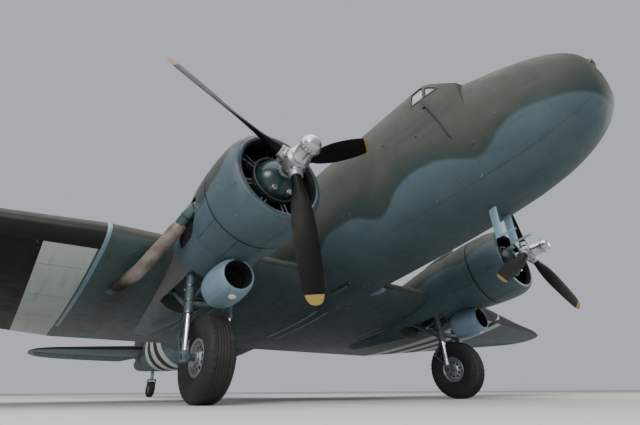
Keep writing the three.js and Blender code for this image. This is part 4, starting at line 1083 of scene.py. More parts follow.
# Places along the wing, and shares of its chord
STRIPES = [4330, 4925, 5520, 6115, 6710, 7305]
LAMP_OUT = [6190, 6410]
FLAP_OUT, FLAP_CHORD = (STRIPES[0], 8780), (0.84, 0.945)
AILERON_OUT, AILERON_HINGE = (8900, 13500), 0.755
CENTRE_FLAP_X, CENTRE_FLAP_Y, FLAP_SLIT = 4235, (8480, 8975), 0.35
JACK_X, JACK_Y = 3900, 6150


def chord(row, share):
    return row[1] + share * (row[2] - row[1])


def outer_finish(out, share, side):
    if share < BOOT:
        return "boot_rubber"
    return banded(out, STRIPES, "olive_paint" if side > 0 else "grey_paint")


def hinged(body, a, b, half_at, tight, wide, finish):
    """Cuts a moving surface with a round nose and pins from a body, along a hinge line from a to b."""
    a, b = np.asarray(a, float), np.asarray(b, float)
    half = [half_at(0), half_at(1)]
    excess = [half_at(t) - half[0] - (half[1] - half[0]) * t for t in np.arange(0.1, 0.95, 0.1)]
    bulge = max([0] + excess) + 12
    way = (b - a) / np.linalg.norm(b - a)
    nose_bar = Shape().bar(a + way * CLEAR, b - way * CLEAR, half[0] * 0.96, half[1] * 0.96, finish, 32)
    # The cove's cut faces, and the faces the cutters leave at the gaps, are painted shade in flat black.
    cove = Shape().bar(a, b, half[0] + bulge, half[1] + bulge, "void_black", 32)
    thin, thick = (0.35 * h for h in half)
    pins = Shape().bar(a + way * FIT, a + way * 60, thin, thin, "steel", 16)
    pins.bar(b - way * 60, b - way * FIT, thick, thick, "steel", 16)
    nose_solid = boolean(solid(nose_bar), [copy_of(tight)], "UNION")
    moving = copy_of(body)
    boolean(moving, [nose_solid], "INTERSECT")
    boolean(body, [wide, cove])
    bpy.data.objects.remove(tight)
    return body, join_objects([moving, pins])


def flat_prism(outline, z0, z1):
    # Its faces, where it cuts a gap, are painted shade in flat black.
    return Shape().loft([[(x, y, z) for x, y in outline] for z in (z0, z1)], "void_black")


def underside_slab(rows, fronts, backs, low, high, finish):
    """A slab on the underside of a wing between two chord stations of each row."""
    rings = []
    for row, front, back in zip(rows, fronts, backs):
        ys = np.linspace(front, back, 8)
        zs = surface_z(row, ys, -1)
        rings.append([(row[0], y, z - low) for y, z in zip(ys, zs)]
                     + [(row[0], y, z + high) for y, z in zip(ys[::-1], zs[::-1])])
    return Shape().loft(rings, finish)


def flap_leaf(rows, fronts, backs, thick, pitch, finish):
    """A split flap: a thin skin with a rolled front edge and ribs above it."""
    shape = underside_slab(rows, fronts, backs, 0, 5, finish)
    x0, x1 = rows[0][0], rows[-1][0]
    for x in np.arange(x0 + 60, x1 - 40, pitch):
        t = (x - x0) / (x1 - x0)
        row = [a + (b - a) * t for a, b in zip(rows[0], rows[-1])]
        front, back = (v[0] + (v[-1] - v[0]) * t for v in (fronts, backs))
        ys = np.linspace(front + 14, back - 30, 5)
        zs = surface_z(row, ys, -1)
        high = np.linspace(thick, 8, 5)
        rings = [[(x - 8, y, z + 3), (x + 8, y, z + 3), (x + 8, y, z + h), (x - 8, y, z + h)]
                 for y, z, h in zip(ys, zs, high)]
        shape.loft(rings, "interior_green")
    corners = ((0, 2), (26, 2), (26, thick - 1), (0, thick - 1))
    spar = [[(row[0], front + d, float(surface_z(row, front + d, -1)) + h) for d, h in corners]
            for row, front in zip(rows, fronts)]
    return shape.loft(spar, "interior_green")


def centre_section():
    body = solid(centre_wing())
    front, back = CENTRE_FLAP_Y
    ends = [[x] + WING_CENTRE_ROW[1:] for x in (-CENTRE_FLAP_X - CLEAR, CENTRE_FLAP_X + CLEAR)]
    boolean(body, [underside_slab(ends, [front - FIT] * 2, [back + CLEAR] * 2, 60, 34, "well_dark")])
    pads = Shape()
    foot = float(surface_z(WING_CENTRE_ROW, JACK_Y, -1)) - 60
    pad = [[ON_AXIS, 0], [52, 0], [70, 14], [70, 90], [ON_AXIS, 90]]
    for x in (-JACK_X, JACK_X):
        pads.turned(pad, (x, JACK_Y, foot), UP, "plain_grey", 32)
        pads.studs(circle((x, JACK_Y, foot + 62), UP, 60, 6), DOWN, 6, 8, "dark_steel")
    place(join_objects([body, pads]), "wing_centre_skin", replaces=["wing_centre"])
    rows = [[x] + WING_CENTRE_ROW[1:] for x in (-CENTRE_FLAP_X, CENTRE_FLAP_X)]
    leaf = flap_leaf(rows, [front] * 2, [back] * 2, 19, 420, "grey_paint")
    place(leaf, "flap_centre_leaf", "flap_centre", ["flap_centre"])


def landing_lamp(body):
    """A lamp behind a clear cover in the leading edge, in a recess cut from the wing."""
    rows = [row_at(OUTER_WING, x) for x in np.linspace(LAMP_OUT[0], LAMP_OUT[1], 5)]
    lead, height = rows[2][1], rows[2][3]
    recess = [(LAMP_OUT[0], lead - 60, height - 75), (LAMP_OUT[1], lead + 135, height + 85)]
    # The recess's cut faces are painted shade in flat black.
    boolean(body, [Shape().block(*recess, "void_black", SQUARE)])
    cover = solid(wing(rows, "lamp_glass", -0.5))
    inside = [row_at(OUTER_WING, x) for x in (LAMP_OUT[0] - 9, LAMP_OUT[1] + 9)]
    boolean(cover, [wing(inside, "lamp_glass", -6)])
    boolean(cover, [Shape().block(*recess, "lamp_glass", SQUARE)], "INTERSECT")
    middle = (sum(LAMP_OUT) / 2, lead + 84, height + 4)
    bowl = [[ON_AXIS, -8], [30, -4], [58, 12], [70, 36], [73, 36], [73, 30], [60, 4], [30, -12],
            [ON_AXIS, -16]]
    lamp = Shape().turned(bowl, middle, (0, -1, -0.12), "lamp_reflector", 40)
    lamp.turned([[ON_AXIS, 0], [14, 2], [14, 22], [ON_AXIS, 26]], middle, (0, -1, -0.12), "dial_face", 20)
    both(join_objects([cover, lamp]), "landing_lamp_{}")


def outer_wing():
    tip_from, tip = OUTER_WING_ROWS[2][0], OUTER_WING_ROWS[-1][0]
    steps = np.concatenate([[WING_JOINT_X + WING_SEAM], STRIPES, LAMP_OUT, np.linspace(4900, 13000, 12),
                            tip_from + (tip - tip_from) * np.sin(np.linspace(0, math.pi / 2, 22))])
    rows = [row_at(OUTER_WING, x) for x in np.unique(steps)]
    body = solid(wing(rows, outer_finish, extra=[BOOT]))
    landing_lamp(body)

    def station(x):
        row = row_at(OUTER_WING, x)
        y = chord(row, AILERON_HINGE)
        up, low = (float(surface_z(row, y, s)) for s in (1, -1))
        return x, y, (up + low) / 2, (up - low) / 2

    inner, outer = (station(x) for x in AILERON_OUT)

    def y_at(x):
        return inner[1] + (x - inner[0]) / (outer[0] - inner[0]) * (outer[1] - inner[1])

    def zone(slack):
        x0, x1 = inner[0] + slack, outer[0] - slack
        return solid(flat_prism([(x0, y_at(x0)), (x1, y_at(x1)), (x1, 9600), (x0, 9600)], -500, 2500))

    def half_at(t):
        return station(inner[0] + t * (outer[0] - inner[0]))[3]

    fixed, moving = hinged(body, inner[:3], outer[:3], half_at, zone(22), zone(0), "olive_fabric")
    swap_finish(moving, {"olive_paint": "olive_fabric", "grey_paint": "grey_fabric"})
    both(moving, "aileron_{}_skin", "aileron_{}", "aileron_{}")

    front, back = FLAP_CHORD
    wide = [row_at(OUTER_WING, x) for x in (FLAP_OUT[0] - CLEAR, FLAP_OUT[1] + CLEAR)]
    fronts, backs = [chord(r, front) - FLAP_SLIT for r in wide], [chord(r, back) + CLEAR for r in wide]
    boolean(fixed, [underside_slab(wide, fronts, backs, 60, 26, "well_dark")])
    both(fixed, "outer_wing_{}_skin", replaces="outer_wing_{}")
    ends = np.array([row_at(OUTER_WING, x) for x in FLAP_OUT])
    leaf = Shape()
    cuts = STRIPES + [FLAP_OUT[1]]
    for x0, x1 in zip(cuts, cuts[1:]):
        rows = [row_at(ends, x) for x in (x0, x1)]
        finish = outer_finish((x0 + x1) / 2, back, -1)
        leaf.take(flap_leaf(rows, *([chord(r, s) for r in rows] for s in FLAP_CHORD), 15, 300, finish))
    both(leaf, "flap_{}_leaf", "flap_{}", "flap_{}")


def swap_finish(body, names):
    for slot in body.material_slots:
        if slot.material and slot.material.name in names:
            slot.material = MATERIALS[names[slot.material.name]]


def tail_finish(out, share, side):
    if share < BOOT:
        return "boot_rubber"
    return "plain_olive" if side > 0 else "plain_grey"


ELEVATOR_OUT = (390, 3880)
RUDDER_FOOT, RUDDER_TOP = 2330, 5640


def tailplane():
    xs = np.concatenate([np.linspace(150, 3300, 9), 3300 + 765 * np.sin(np.linspace(0.1, math.pi / 2, 16))])
    body = solid(wing([row_at(TAILPLANE, x) for x in xs], tail_finish, cambered=0, extra=[BOOT]))
    boolean(body, [tail_core()])

    def half_at(x):
        row = row_at(TAILPLANE, x)
        return float(surface_z(row, ELEVATOR_HINGE_Y, 1, 0)) - STAB_Z

    y, beyond = ELEVATOR_HINGE_Y, 19000
    x0, x1 = ELEVATOR_OUT
    tight = [(x0 + CLEAR, y), (x1 - CLEAR, y), (x1 - CLEAR, beyond), (x0 + 648, beyond)]
    wide = [(x0, y), (x1, y), (x1, beyond), (x0, beyond)]
    tight, wide = (solid(flat_prism(outline, 1000, 3000)) for outline in (tight, wide))
    fixed, moving = hinged(body, (x0, y, STAB_Z), (x1, y, STAB_Z), lambda t: half_at(x0 + t * (x1 - x0)),
                           tight, wide, "olive_fabric")
    boolean(fixed, [Shape().block((0, y + 40, 1000), (x0 + 5, beyond, 3000), "plain_olive", SQUARE)])
    swap_finish(moving, {"plain_olive": "olive_fabric", "plain_grey": "grey_fabric"})
    both(largest(fixed), "tailplane_{}_skin", replaces="tailplane_{}")
    both(moving, "elevator_{}_skin", "elevators", "elevator_{}")


def fin_finish(out, share, side):
    return "boot_rubber" if share < BOOT and out > 2500 else "plain_olive"


def fin():
    zs = np.concatenate([np.linspace(2100, 5300, 26),
                         5300 + 490 * np.sin(np.linspace(0.12, math.pi / 2, 14))])
    rows = [row_at(FIN, z) for z in zs]
    body = solid(wing(rows, fin_finish, cambered=0, upright=True, extra=[BOOT]))
    boolean(body, [tail_core()])
    foot, top, y = RUDDER_FOOT, RUDDER_TOP, RUDDER_HINGE_Y

    def half_at(z):
        _, lead, trail, _, thick = row_at(FIN, z)
        return thick * (trail - lead) * float(half_thickness(np.array((y - lead) / (trail - lead))))

    def zone(slack):
        outline = [(y, foot + slack), (19900, foot - 260 + slack), (19900, top + 400), (y, top - slack)]
        # Its faces, where it cuts a gap, are painted shade in flat black.
        return solid(Shape().loft([[(x, a, b) for a, b in outline] for x in (-600, 600)], "void_black"))

    fixed, moving = hinged(body, (0, y, foot), (0, y, top), lambda t: half_at(foot + t * (top - foot)),
                           zone(CLEAR), zone(0), "olive_fabric")
    boolean(fixed, [Shape().block((-600, y - 40, 0), (600, 20000, foot + 5), "plain_olive", SQUARE)])
    swap_finish(moving, {"plain_olive": "olive_fabric"})
    place(largest(fixed), "fin_skin", replaces=["fin"])
    place(largest(moving), "rudder_skin", "rudder", ["rudder"])


# Nacelles, engines and propellers

ENGINE = np.array([ENGINE_X, 0.0, THRUST_Z])
# Lathe profiles in runs that share a finish, each point a radius and y
# The inside of the cowl ring, behind the lip's foremost point, is painted shade in flat black.
COWL_LIP = [
    ("void_black", [[535, 3125], [523, 3090], [521, 3070], [528, 3048]]),
    ("cowl_lip", [[546, 3030], [568, 3021]]),
    ("nacelle_paint", [[592, 3026], [618, 3044], [648, 3092], [674, 3160], [690, 3235], [698, 3318],
                       [702, 3400], [705, 3500], [705, 3600], [704, 3655]]),
    ("void_black", [[701, 3664], [692, 3664], [694, 3480], [676, 3250], [640, 3170], [575, 3130]]),
]
COWL_REAR = [(3690, 701), (3800, 700), (3920, 694), (4060, 682), (4180, 668), (4289, 652)]
# Where the rear panels part, in degrees, and half the gap there in radians
COWL_SEAMS = [12, 52, 105, 128, 160, 205, 240, 300, 345]
PANEL_SEAM = 0.004
SIDE_OPENING = [(3990, 520), (4150, 560), (4289, 520), (4560, 380), (4700, 215), (4700, 90), (4560, 70),
                (4300, 180), (4050, 300), (3985, 400)]
SCOOP_Z = -400
# The scoop's body is in pale grey, lighter than the underside grey: painted highlight. Its inside is painted
# shade in flat black.
SCOOP = [
    ("pale_grey", [[ON_AXIS, 4794], [120, 4793], [195, 4786], [240, 4752], [262, 4705], [277, 4640],
                   [284, 4560], [284, 4460], [279, 4360], [269, 4270], [255, 4195], [240, 4150],
                   [226, 4128], [212, 4121]]),
    ("dark_steel", [[200, 4127]]),
    ("void_black", [[193, 4142], [191, 4200], [190, 4400], [ON_AXIS, 4400]]),
]
COWL_ROOM = [[ON_AXIS, 4000], [690, 4000], [661, FIREWALL_Y], [ON_AXIS, FIREWALL_Y]]
COLLECTOR_PATH = [[575, 4000, 440], [640, 4120, 420], [700, 4270, 345], [742, 4420, 250]]
EXHAUST_PATH = [[700, 4350, 300], [742, 4420, 250], [800, 4600, 145], [868, 4800, 45], [955, 5120, -85],
                [1030, 5340, -142], [1110, 5560, -185]]


def lathe_of(table, origin, sides):
    """A lathe about an axis that runs aft, from a table of runs that share a finish."""
    profile = [point for _, points in table for point in points]
    finishes = [finish for finish, points in table for _ in points]
    return Shape().turned(profile, origin, AFT, finishes, sides)


def eased_path(points, count):
    """A smooth curve through points, by even Catmull-Rom spans."""
    p = np.asarray(points, float)
    p = np.vstack([2 * p[0] - p[1], p, 2 * p[-1] - p[-2]])
    made = []
    spans = len(p) - 3
    for t in np.linspace(0, spans, count):
        i = min(int(t), spans - 1)
        q = t - i
        a, b, c, d = p[i:i + 4]
        made.append(0.5 * (2 * b + (c - a) * q + (2 * a - 5 * b + 4 * c - d) * q * q
                           + (3 * b - a - 3 * c + d) * q**3))
    return np.array(made)


WELL_HALF = 372


def nacelle():
    x = ENGINE_X
    body = solid(hull(NACELLE, FIREWALL_Y, 8319, 0, 70, "nacelle_paint", 72, x))
    intake_rows = [[4060, 82, 60], [4200, 120, 130], [4320, 135, 150], [4600, 134, 143], [4900, 125, 120],
                   [5150, 95, 72], [5350, 60, 20]]
    rings = []
    for y, half, high in smooth_table([r + [0] for r in intake_rows], 26)[:, :3]:
        z = THRUST_Z + 640 - (y - 4300) * 0.06
        arch = [(half * math.cos(t), high * abs(math.sin(t)) ** 0.8) for t in np.linspace(0, math.pi, 17)]
        rings.append([(x + dx, y, z + dz) for dx, dz in [(half, -240)] + arch + [(-half, -240)]])
    intake = solid(Shape().loft(rings, "nacelle_paint"))
    boolean(intake, [Shape().block((0, FIREWALL_Y, 0), (5000, 6000, 3000), "nacelle_paint", SQUARE)],
            "INTERSECT")
    scoop = solid(lathe_of(SCOOP, (x, 0, SCOOP_Z), 72))
    # The faces cut by the cowl's room, the intake's mouth and the side pocket are painted shade in flat
    # black.
    boolean(scoop, [Shape().turned(COWL_ROOM, (x, 0, THRUST_Z), AFT, "void_black", 72)])
    opening = ((-92, 1118), (92, 1118), (72, 1210), (-72, 1210))
    mouth = Shape().convex([(x + dx, y, z) for y in (4200, 4420) for dx, z in opening], "void_black")
    outline = rounded(4800, -900, 6080, 260, 60)
    well = Shape().loft([[(x + dx, y, z) for y, z in outline] for dx in (-WELL_HALF, WELL_HALF)], "well_dark")
    boolean(body, [intake], "UNION")
    boolean(body, [scoop], "UNION")
    boolean(body, [mouth, well, side_pocket(FIREWALL_Y - 20, 4900, 560), centre_wing(FIT, "grey_paint")])
    both(largest(body), "nacelle_{}_skin", replaces="nacelle_{}")

    detail = Shape()
    for k in range(-5, 6):
        reach = math.sqrt(186**2 - (k * 30) ** 2)
        detail.block((x + k * 30 - 3, 4352, SCOOP_Z - reach), (x + k * 30 + 3, 4398, SCOOP_Z + reach),
                     "dark_steel", 1)
        detail.block((x - reach, 4358, SCOOP_Z - 3 + k * 30), (x + reach, 4392, SCOOP_Z + 3 + k * 30),
                     "dark_steel", 1)
    lamp = (x + 30, 4255, SCOOP_Z - 262)
    detail.fitting(lamp, (0.1, -0.32, -1), 28,
                   dial_face=[[ON_AXIS, -20], [47, -20], [50, -8], [50, 4], [38, 12], [ON_AXIS, 15]],
                   dull_alloy=[[50.5, -20], [57, -20], [57, 2], [50.5, 4]])
    for y in (4860, 5160, 5460, 5760, 6020):
        for side in (-1, 1):
            near, far = sorted((x + side * (WELL_HALF - 1), x + side * 340))
            detail.block((near, y - 12, -120), (far, y + 12, 250), "interior_green", 2)
        detail.block((x - 360, y - 12, 236), (x + 360, y + 12, 259), "interior_green", 2)
    for dx in (-300, 300):
        pipe = [(x + dx, y, z) for y, z in ((4830, 60), (5200, 130), (5700, 150), (6040, 90))]
        detail.tube(eased_path(pipe, 16), 11, "bright_alloy", 8)
    both(detail, "nacelle_detail_{}")


def side_pocket(start, end, inner):
    """The opening in the outboard side of the nacelle, where the exhaust collector shows."""
    outline = [(min(max(y, start), end), z) for y, z in SIDE_OPENING]
    tidy = [p for p, q in zip(outline, outline[1:] + outline[:1]) if p != q]
    # The pocket's cut faces are painted shade in flat black.
    rings = [[(ENGINE_X + out, y, z) for y, z in tidy] for out in (inner, 1000)]
    return Shape().loft(rings, "void_black")


def arc_sheet(rows, a, b, thick, finish, steps):
    """A curved panel round the engine's axis: rows of (y, radius), from angle a to angle b."""
    span = np.linspace(a, b, max(3, int(steps * abs(b - a))))
    rings = []
    for y, outer in rows:
        arc = [(ENGINE_X + outer * math.sin(t), y, THRUST_Z + outer * math.cos(t)) for t in span]
        arc += [(ENGINE_X + (outer - thick) * math.sin(t), y, THRUST_Z + (outer - thick) * math.cos(t))
                for t in span[::-1]]
        rings.append(arc)
    skin = [(radius * MM * t, y * MM) for y, radius in rows for t in list(span) + list(span[::-1])]
    return Shape().loft(rings, finish, skin)


def spoke(angle):
    """Directions outwards and round, at an angle from upright about an axis that runs aft."""
    return np.array([math.sin(angle), 0, math.cos(angle)]), np.array([math.cos(angle), 0, -math.sin(angle)])


def cowl():
    shape = lathe_of(COWL_LIP, ENGINE, 120)
    # A black band behind the joint of the cowl ring: painted shade.
    shape.turned([[668, 3560], [690, 3560], [690, 3760], [668, 3760]], ENGINE, AFT, "void_black", 96)
    for angle in np.radians(range(20, 360, 40)):
        way, _ = spoke(angle)
        for y in (3345, 3640):
            shape.studs([ENGINE + way * 702 + (0, y, 0)], way, 8, 3, "dull_alloy", 12)
    rear = Shape()
    bounds = COWL_SEAMS + [COWL_SEAMS[0] + 360]
    for first, last in zip(bounds, bounds[1:]):
        a, b = math.radians(first) + PANEL_SEAM, math.radians(last) - PANEL_SEAM
        rear.take(arc_sheet(COWL_REAR, a, b, 10, "nacelle_paint", 18))
    rear = solid(rear)
    boolean(rear, [side_pocket(3900, 4400, 300)])
    inner = [(y, r - 12) for y, r in COWL_REAR]
    # A black lining sheet inside the rear panels: painted shade.
    lining = solid(arc_sheet(inner, 0.0, 2 * math.pi - 1e-3, 12, "void_black", 16))
    boolean(lining, [side_pocket(3900, 4400, 300)])
    rim = Shape().turned([[600, 4262], [638, 4262], [638, 4288], [600, 4288]], ENGINE, AFT, "dark_steel", 72)
    both(join_objects([shape, rear, lining, rim]), "cowl_{}_skin", replaces="cowl_{}")


def cylinder(shape, y, angle):
    """One finned cylinder with its head, rocker boxes, pushrod tubes and plug leads."""
    way, side = spoke(angle)
    base = ENGINE + (0, y, 0)
    profile = [[ON_AXIS, 255], [84, 255], [84, 285]]
    for k in range(11):
        r = 300 + 13 * k
        profile += [[72, r], [90, r + 1.5], [90, r + 4.5], [72, r + 6]]
    profile += [[78, 448]]
    for k in range(6):
        r = 452 + 15 * k
        wide = 99 - 2.5 * abs(k - 2)
        profile += [[82, r], [wide, r + 2], [wide, r + 6], [82, r + 8]]
    profile += [[74, 548], [44, 566], [ON_AXIS, 572]]
    shape.turned(profile, base, way, "cylinder_metal", 24)
    for ahead in (-1, 1):
        at = base + way * 548 + (0, 46 * ahead, 0)
        corners = [at + side * a * 34 + (0, b * 38, 0) + way * c for a in (-1, 1) for b in (-1, 1)
                   for c in (-26, 26)]
        corners += [at + side * a * 20 + (0, b * 24, 0) + way * 36 for a in (-1, 1)
                    for b in (-1, 1)]
        shape.convex(corners, "cylinder_metal")
    for lean in (-1, 1):
        low = base + way * 236 + (0, -104, 0) + side * lean * 20
        high = base + way * 536 + (0, -70, 0) + side * lean * 46
        shape.bar(low, high, 11, 11, "dull_alloy", 10)
    plug = base + way * 500 + side * 70 + (0, -60, 0)
    shape.bar(plug, plug + side * 26 + (0, -18, 0), 9, 7, "bright_alloy", 10)
    lead = [ENGINE + way * 315 + (0, 3135, 0),
            base + way * 400 + side * 60 + (0, -118, 0), plug + side * 26 + (0, -18, 0)]
    shape.tube(eased_path(lead, 8), 6, "black_rubber", 6)


# In each of the two rows
CYLINDERS = 7


def engine():
    shape = Shape()
    case = [[ON_AXIS, 2872], [60, 2872], [62, 2928], [74, 2936]]
    case += [[285 * math.sin(t) + 4, 3205 - 268 * math.cos(t)] for t in np.linspace(0.3, math.pi / 2, 16)]
    case += [[300, 3205], [300, 3228], [287, 3232], [285, 3860], [330, 4289], [ON_AXIS, 4289]]
    shape.turned(case, ENGINE, AFT, "gearcase_paint", 64)
    shape.studs(circle(ENGINE + (0, 3202, 0), AFT, 293, 28), AHEAD, 7, 11, "dull_alloy")
    shape.studs(circle(ENGINE + (0, 2950, 0), AFT, 104, 12), AHEAD, 6, 14, "dull_alloy")
    collar = [[61, 2905], [92, 2905], [98, 2925], [98, 2945], [61, 2945]]
    shape.turned(collar, ENGINE, AFT, "dull_alloy", 40)
    harness = circle(ENGINE + (0, 3135, 0), AFT, 315, 48)
    shape.tube(harness + harness[:2], 17, "dark_steel", 10)
    shape.bar(ENGINE + (0, 3050, 225), ENGINE + (0, 2925, 250), 52, 40, "dull_alloy", 24)
    shape.bar(ENGINE + (0, 2925, 250), ENGINE + (0, 2895, 255), 30, 24, "dark_steel", 20)
    for dx in (-105, 105):
        shape.bar(ENGINE + (dx, 3120, -205), ENGINE + (dx, 3010, -225), 42, 36, "dull_alloy", 20)
    for y, turn in ((3330, 0), (3580, 0.5)):
        for i in range(CYLINDERS):
            cylinder(shape, y, 2 * math.pi * (i + turn) / CYLINDERS)
    for i in range(2 * CYLINDERS):
        way, side = spoke(math.pi * (i + 0.5) / CYLINDERS)
        plate = [ENGINE + way * r + side * s + (0, y, 0)
                 for r, s in ((330, 34), (330, -34), (600, 20), (600, -20)) for y in (3450, 3456)]
        shape.convex(plate, "dark_steel")
    both(shape, "engine_{}_detail", replaces="engine_{}")


BLADE = [
    [120, 66, 66, 50], [200, 64, 64, 50], [300, 62, 60, 50], [470, 95, 42, 46], [760, 128, 26, 38],
    [1080, 135, 18, 30], [1400, 129, 13, 25], [1560, 119, 10, 23], [1655, 105, 9, 22], [1710, 86, 7, 21.5],
    [1740, 68, 6, 21], [1756, 48, 5, 21], [1763, 28, 4, 21], [1765, 8, 3, 21],
]
TIP_FROM = 1655


def blade(shape, angle):
    table = smooth_table(BLADE, 300)
    radii = np.unique(np.concatenate([np.linspace(120, 1640, 34), [TIP_FROM], np.linspace(1670, 1765, 16)]))
    rings = []
    for r in radii:
        r, half, thick, twist = row_at(table, r)
        t = math.radians(twist)
        sharp = min(1.0, max(0.0, (r - 280) / 250))
        points = []
        for a in 2 * np.pi * np.arange(28) / 28:
            c, s = math.cos(a), math.sin(a)
            flat = np.sign(s) * abs(s) ** (1 + 0.6 * sharp)
            depth = thick * flat * (1 - 0.35 * sharp * (s < 0)) * (1 + 0.25 * sharp * -c)
            x = half * c * math.cos(t) - depth * math.sin(t)
            points.append((x, half * c * math.sin(t) + depth * math.cos(t), r))
        rings.append(points)
    spin = np.array(Matrix.Rotation(angle, 3, "Y"))
    rings = np.asarray(rings) @ spin.T
    shape.loft(rings, lambda i, j: "tip_yellow" if radii[i] >= TIP_FROM - 1 else "propeller_black")


def propeller(tag, sign, phase):
    shape = Shape()
    hub = [[ON_AXIS, -129.5], [96, -129.5], [112, -122], [128, -104], [148, -84], [150, -60], [150, 62],
           [142, 88], [120, 104], [70, 112], [62, 128], [ON_AXIS, 128]]
    shape.turned(hub, (0, 0, 0), AFT, "dull_alloy", 48)
    root = [[ON_AXIS, 90], [92, 90], [94, 126], [94, 160], [88, 166], [82, 200], [84, 214], [80, 222],
            [66, 226], [ON_AXIS, 226]]
    for k in range(3):
        angle = math.radians(phase + 120 * k)
        way, side = spoke(angle)
        shape.turned(root, (0, 0, 0), way, "dull_alloy", 32)
        for s in (-1, 1):
            for a in (-1, 1):
                bolt = way * 140 + side * s * 92 + (0, a * 46, 0)
                shape.bar(bolt - (0, 16, 0), bolt + (0, 16, 0), 13, 13, "steel", 8)
        blade(shape, angle)
    centre = np.array([sign * ENGINE_X, PROP_Y, THRUST_Z])
    place(moved(shape, centre), f"propeller_{tag}_detail", "propeller_" + tag, ["propeller_" + tag],
          40)
    dome = [[ON_AXIS, -452], [26, -451], [52, -446], [76, -435], [96, -417], [108, -392], [113, -355],
            [126, -349], [129, -340], [129, -312], [126, -304], [114, -298], [114, -260], [114, -150],
            [120, -142], [120, -130], [ON_AXIS, -130]]
    cap = Shape().turned(dome, centre, AFT, "bright_alloy", 64)
    cap.studs(circle(centre - (0, 326, 0), AFT, 128, 18), AHEAD, 6, 26, "steel")
    cap.bar(centre - (0, 450, 0), centre - (0, 451, 0), 18, 14, "steel", 6)
    place(cap, f"dome_{tag}_detail", "propeller_" + tag, ["propeller_dome_" + tag], 40)


def exhaust():
    x = ENGINE_X
    shape = Shape()
    collector = eased_path([(x + out, y, z) for out, y, z in COLLECTOR_PATH], 26)
    shape.tube(collector, 74, "collector_metal", 28, bore=5)
    for k in (6, 15):
        way = (collector[k + 1] - collector[k]) / np.linalg.norm(collector[k + 1] - collector[k])
        shape.turned([[73, 0], [80, 2], [80, 20], [73, 22]], collector[k], way, "dark_steel", 28)
    path = eased_path([(x + out, y, z) for out, y, z in EXHAUST_PATH], 64)
    radii = np.interp(np.linspace(0, 1, len(path)), [0, 0.08, 0.2, 0.8, 1], [74, 84, 96, 96, 88])
    shape.tube(path, radii, "exhaust_metal", 40, bore=6)
    for k in (14, 34):
        way = (path[k + 1] - path[k]) / np.linalg.norm(path[k + 1] - path[k])
        shape.turned([[95, 0], [99.5, 1], [99.5, 9], [95, 10]], path[k], way, "exhaust_metal", 40)
    for k in (18, 30):
        shape.bar(path[k] + (0, 0, 60), path[k] + (-60, 10, 190), 10, 10, "dark_steel", 10)
    both(shape, "exhaust_pipe_{}", replaces="exhaust_{}")


# Landing gear

MAIN_TYRE_RADIUS, TAIL_TYRE_RADIUS = 564.8, 272.6
# Half the distance between the two legs of a main gear, and half its axle's length
LEG_SPREAD, AXLE_REACH = 292, 352


def tyre(radius, width, rim, bars, groove):
    """A tyre about x with ribs round it and short bars across its shoulders."""
    half = width / 2
    side = [(0, 0.62), (0.18, 0.82), (0.5, 0.99), (0.72, 1), (0.9, 0.86)]
    control = [(rim + (radius - rim) * rise, -half * out) for rise, out in side]
    control += [(radius - 5, -half * 0.66), (radius, -half * 0.4), (radius, 0)]
    left = eased_path([(r, x, 0) for r, x in control], 44)[:, :2]
    outline = np.vstack([left, [(r, -x) for r, x in left[::-1][1:]]])
    rings = []
    steps = bars * 4
    foot = rim + 4
    for k in range(steps + 1):
        angle = 2 * math.pi * k / steps
        points = []
        for r, x in outline:
            share = abs(x) / half
            near_top = r > radius * 0.93
            cut_ring = any(abs(abs(x) - half * at) < half * 0.035 for at in (0.0, 0.2, 0.42)) and near_top
            cut_bar = near_top and 0.5 < share < 0.95 and k % 4 == 0
            depth = groove if cut_ring else groove * 0.8 if cut_bar else 0
            points.append((x, (r - depth) * math.cos(angle), (r - depth) * math.sin(angle)))
        points += [(x, foot * math.cos(angle), foot * math.sin(angle)) for x in (half * 0.5, -half * 0.5)]
        rings.append(points)
    return Shape().loft(rings, "tyre_rubber", caps=False)


def moved(shape, by):
    shape.points = [(x + by[0], y + by[1], z + by[2]) for x, y, z in shape.points]
    return shape


def both_faces(profile):
    """A wheel's lathe profile from that of one face."""
    return profile + [[r, -x] for r, x in profile[::-1]]


def main_wheel():
    rubber = moved(tyre(MAIN_TYRE_RADIUS, 400, 232, 40, 9), MAIN_AXLE)
    both(rubber, "tyre_{}_detail", "main_wheel_{}", "tyre_{}", 28)
    face = [[41.5, -158], [78, -158], [84, -152], [86, -128], [96, -116], [160, -98], [188, -96],
             [200, -108], [206, -132], [226, -140], [244, -146], [250, -142], [250, -134], [236, -126],
             [231.5, -118]]
    wheel = solid(moved(Shape().turned(both_faces(face), (0, 0, 0), PORT, "dull_alloy", 64), MAIN_AXLE))
    cutters = Shape()
    for point in circle(MAIN_AXLE, PORT, 138, 10):
        for side in (-1, 1):
            cutters.bar(point + (side * 60, 0, 0), point + (side * 140, 0, 0), 23, 23, "dark_steel", 20)
    boolean(wheel, [cutters])
    extra = Shape()
    for side in (-1, 1):
        extra.studs(circle((side * 156, 0, 0), PORT, 62, 8), (side, 0, 0), 7, 9, "steel")
        extra.studs(circle((side * 99, 0, 0), PORT, 176, 16), (side, 0, 0), 6, 8, "steel")
        drum = [[60, side * 30], [130, side * 34], [150, side * 60], [150, side * 84], [60, side * 84]]
        extra.turned(drum, (0, 0, 0), PORT, "dark_steel", 48)
    wheel = join_objects([wheel, moved(extra, MAIN_AXLE)])
    both(wheel, "wheel_{}_detail", "main_wheel_{}", "wheel_{}")


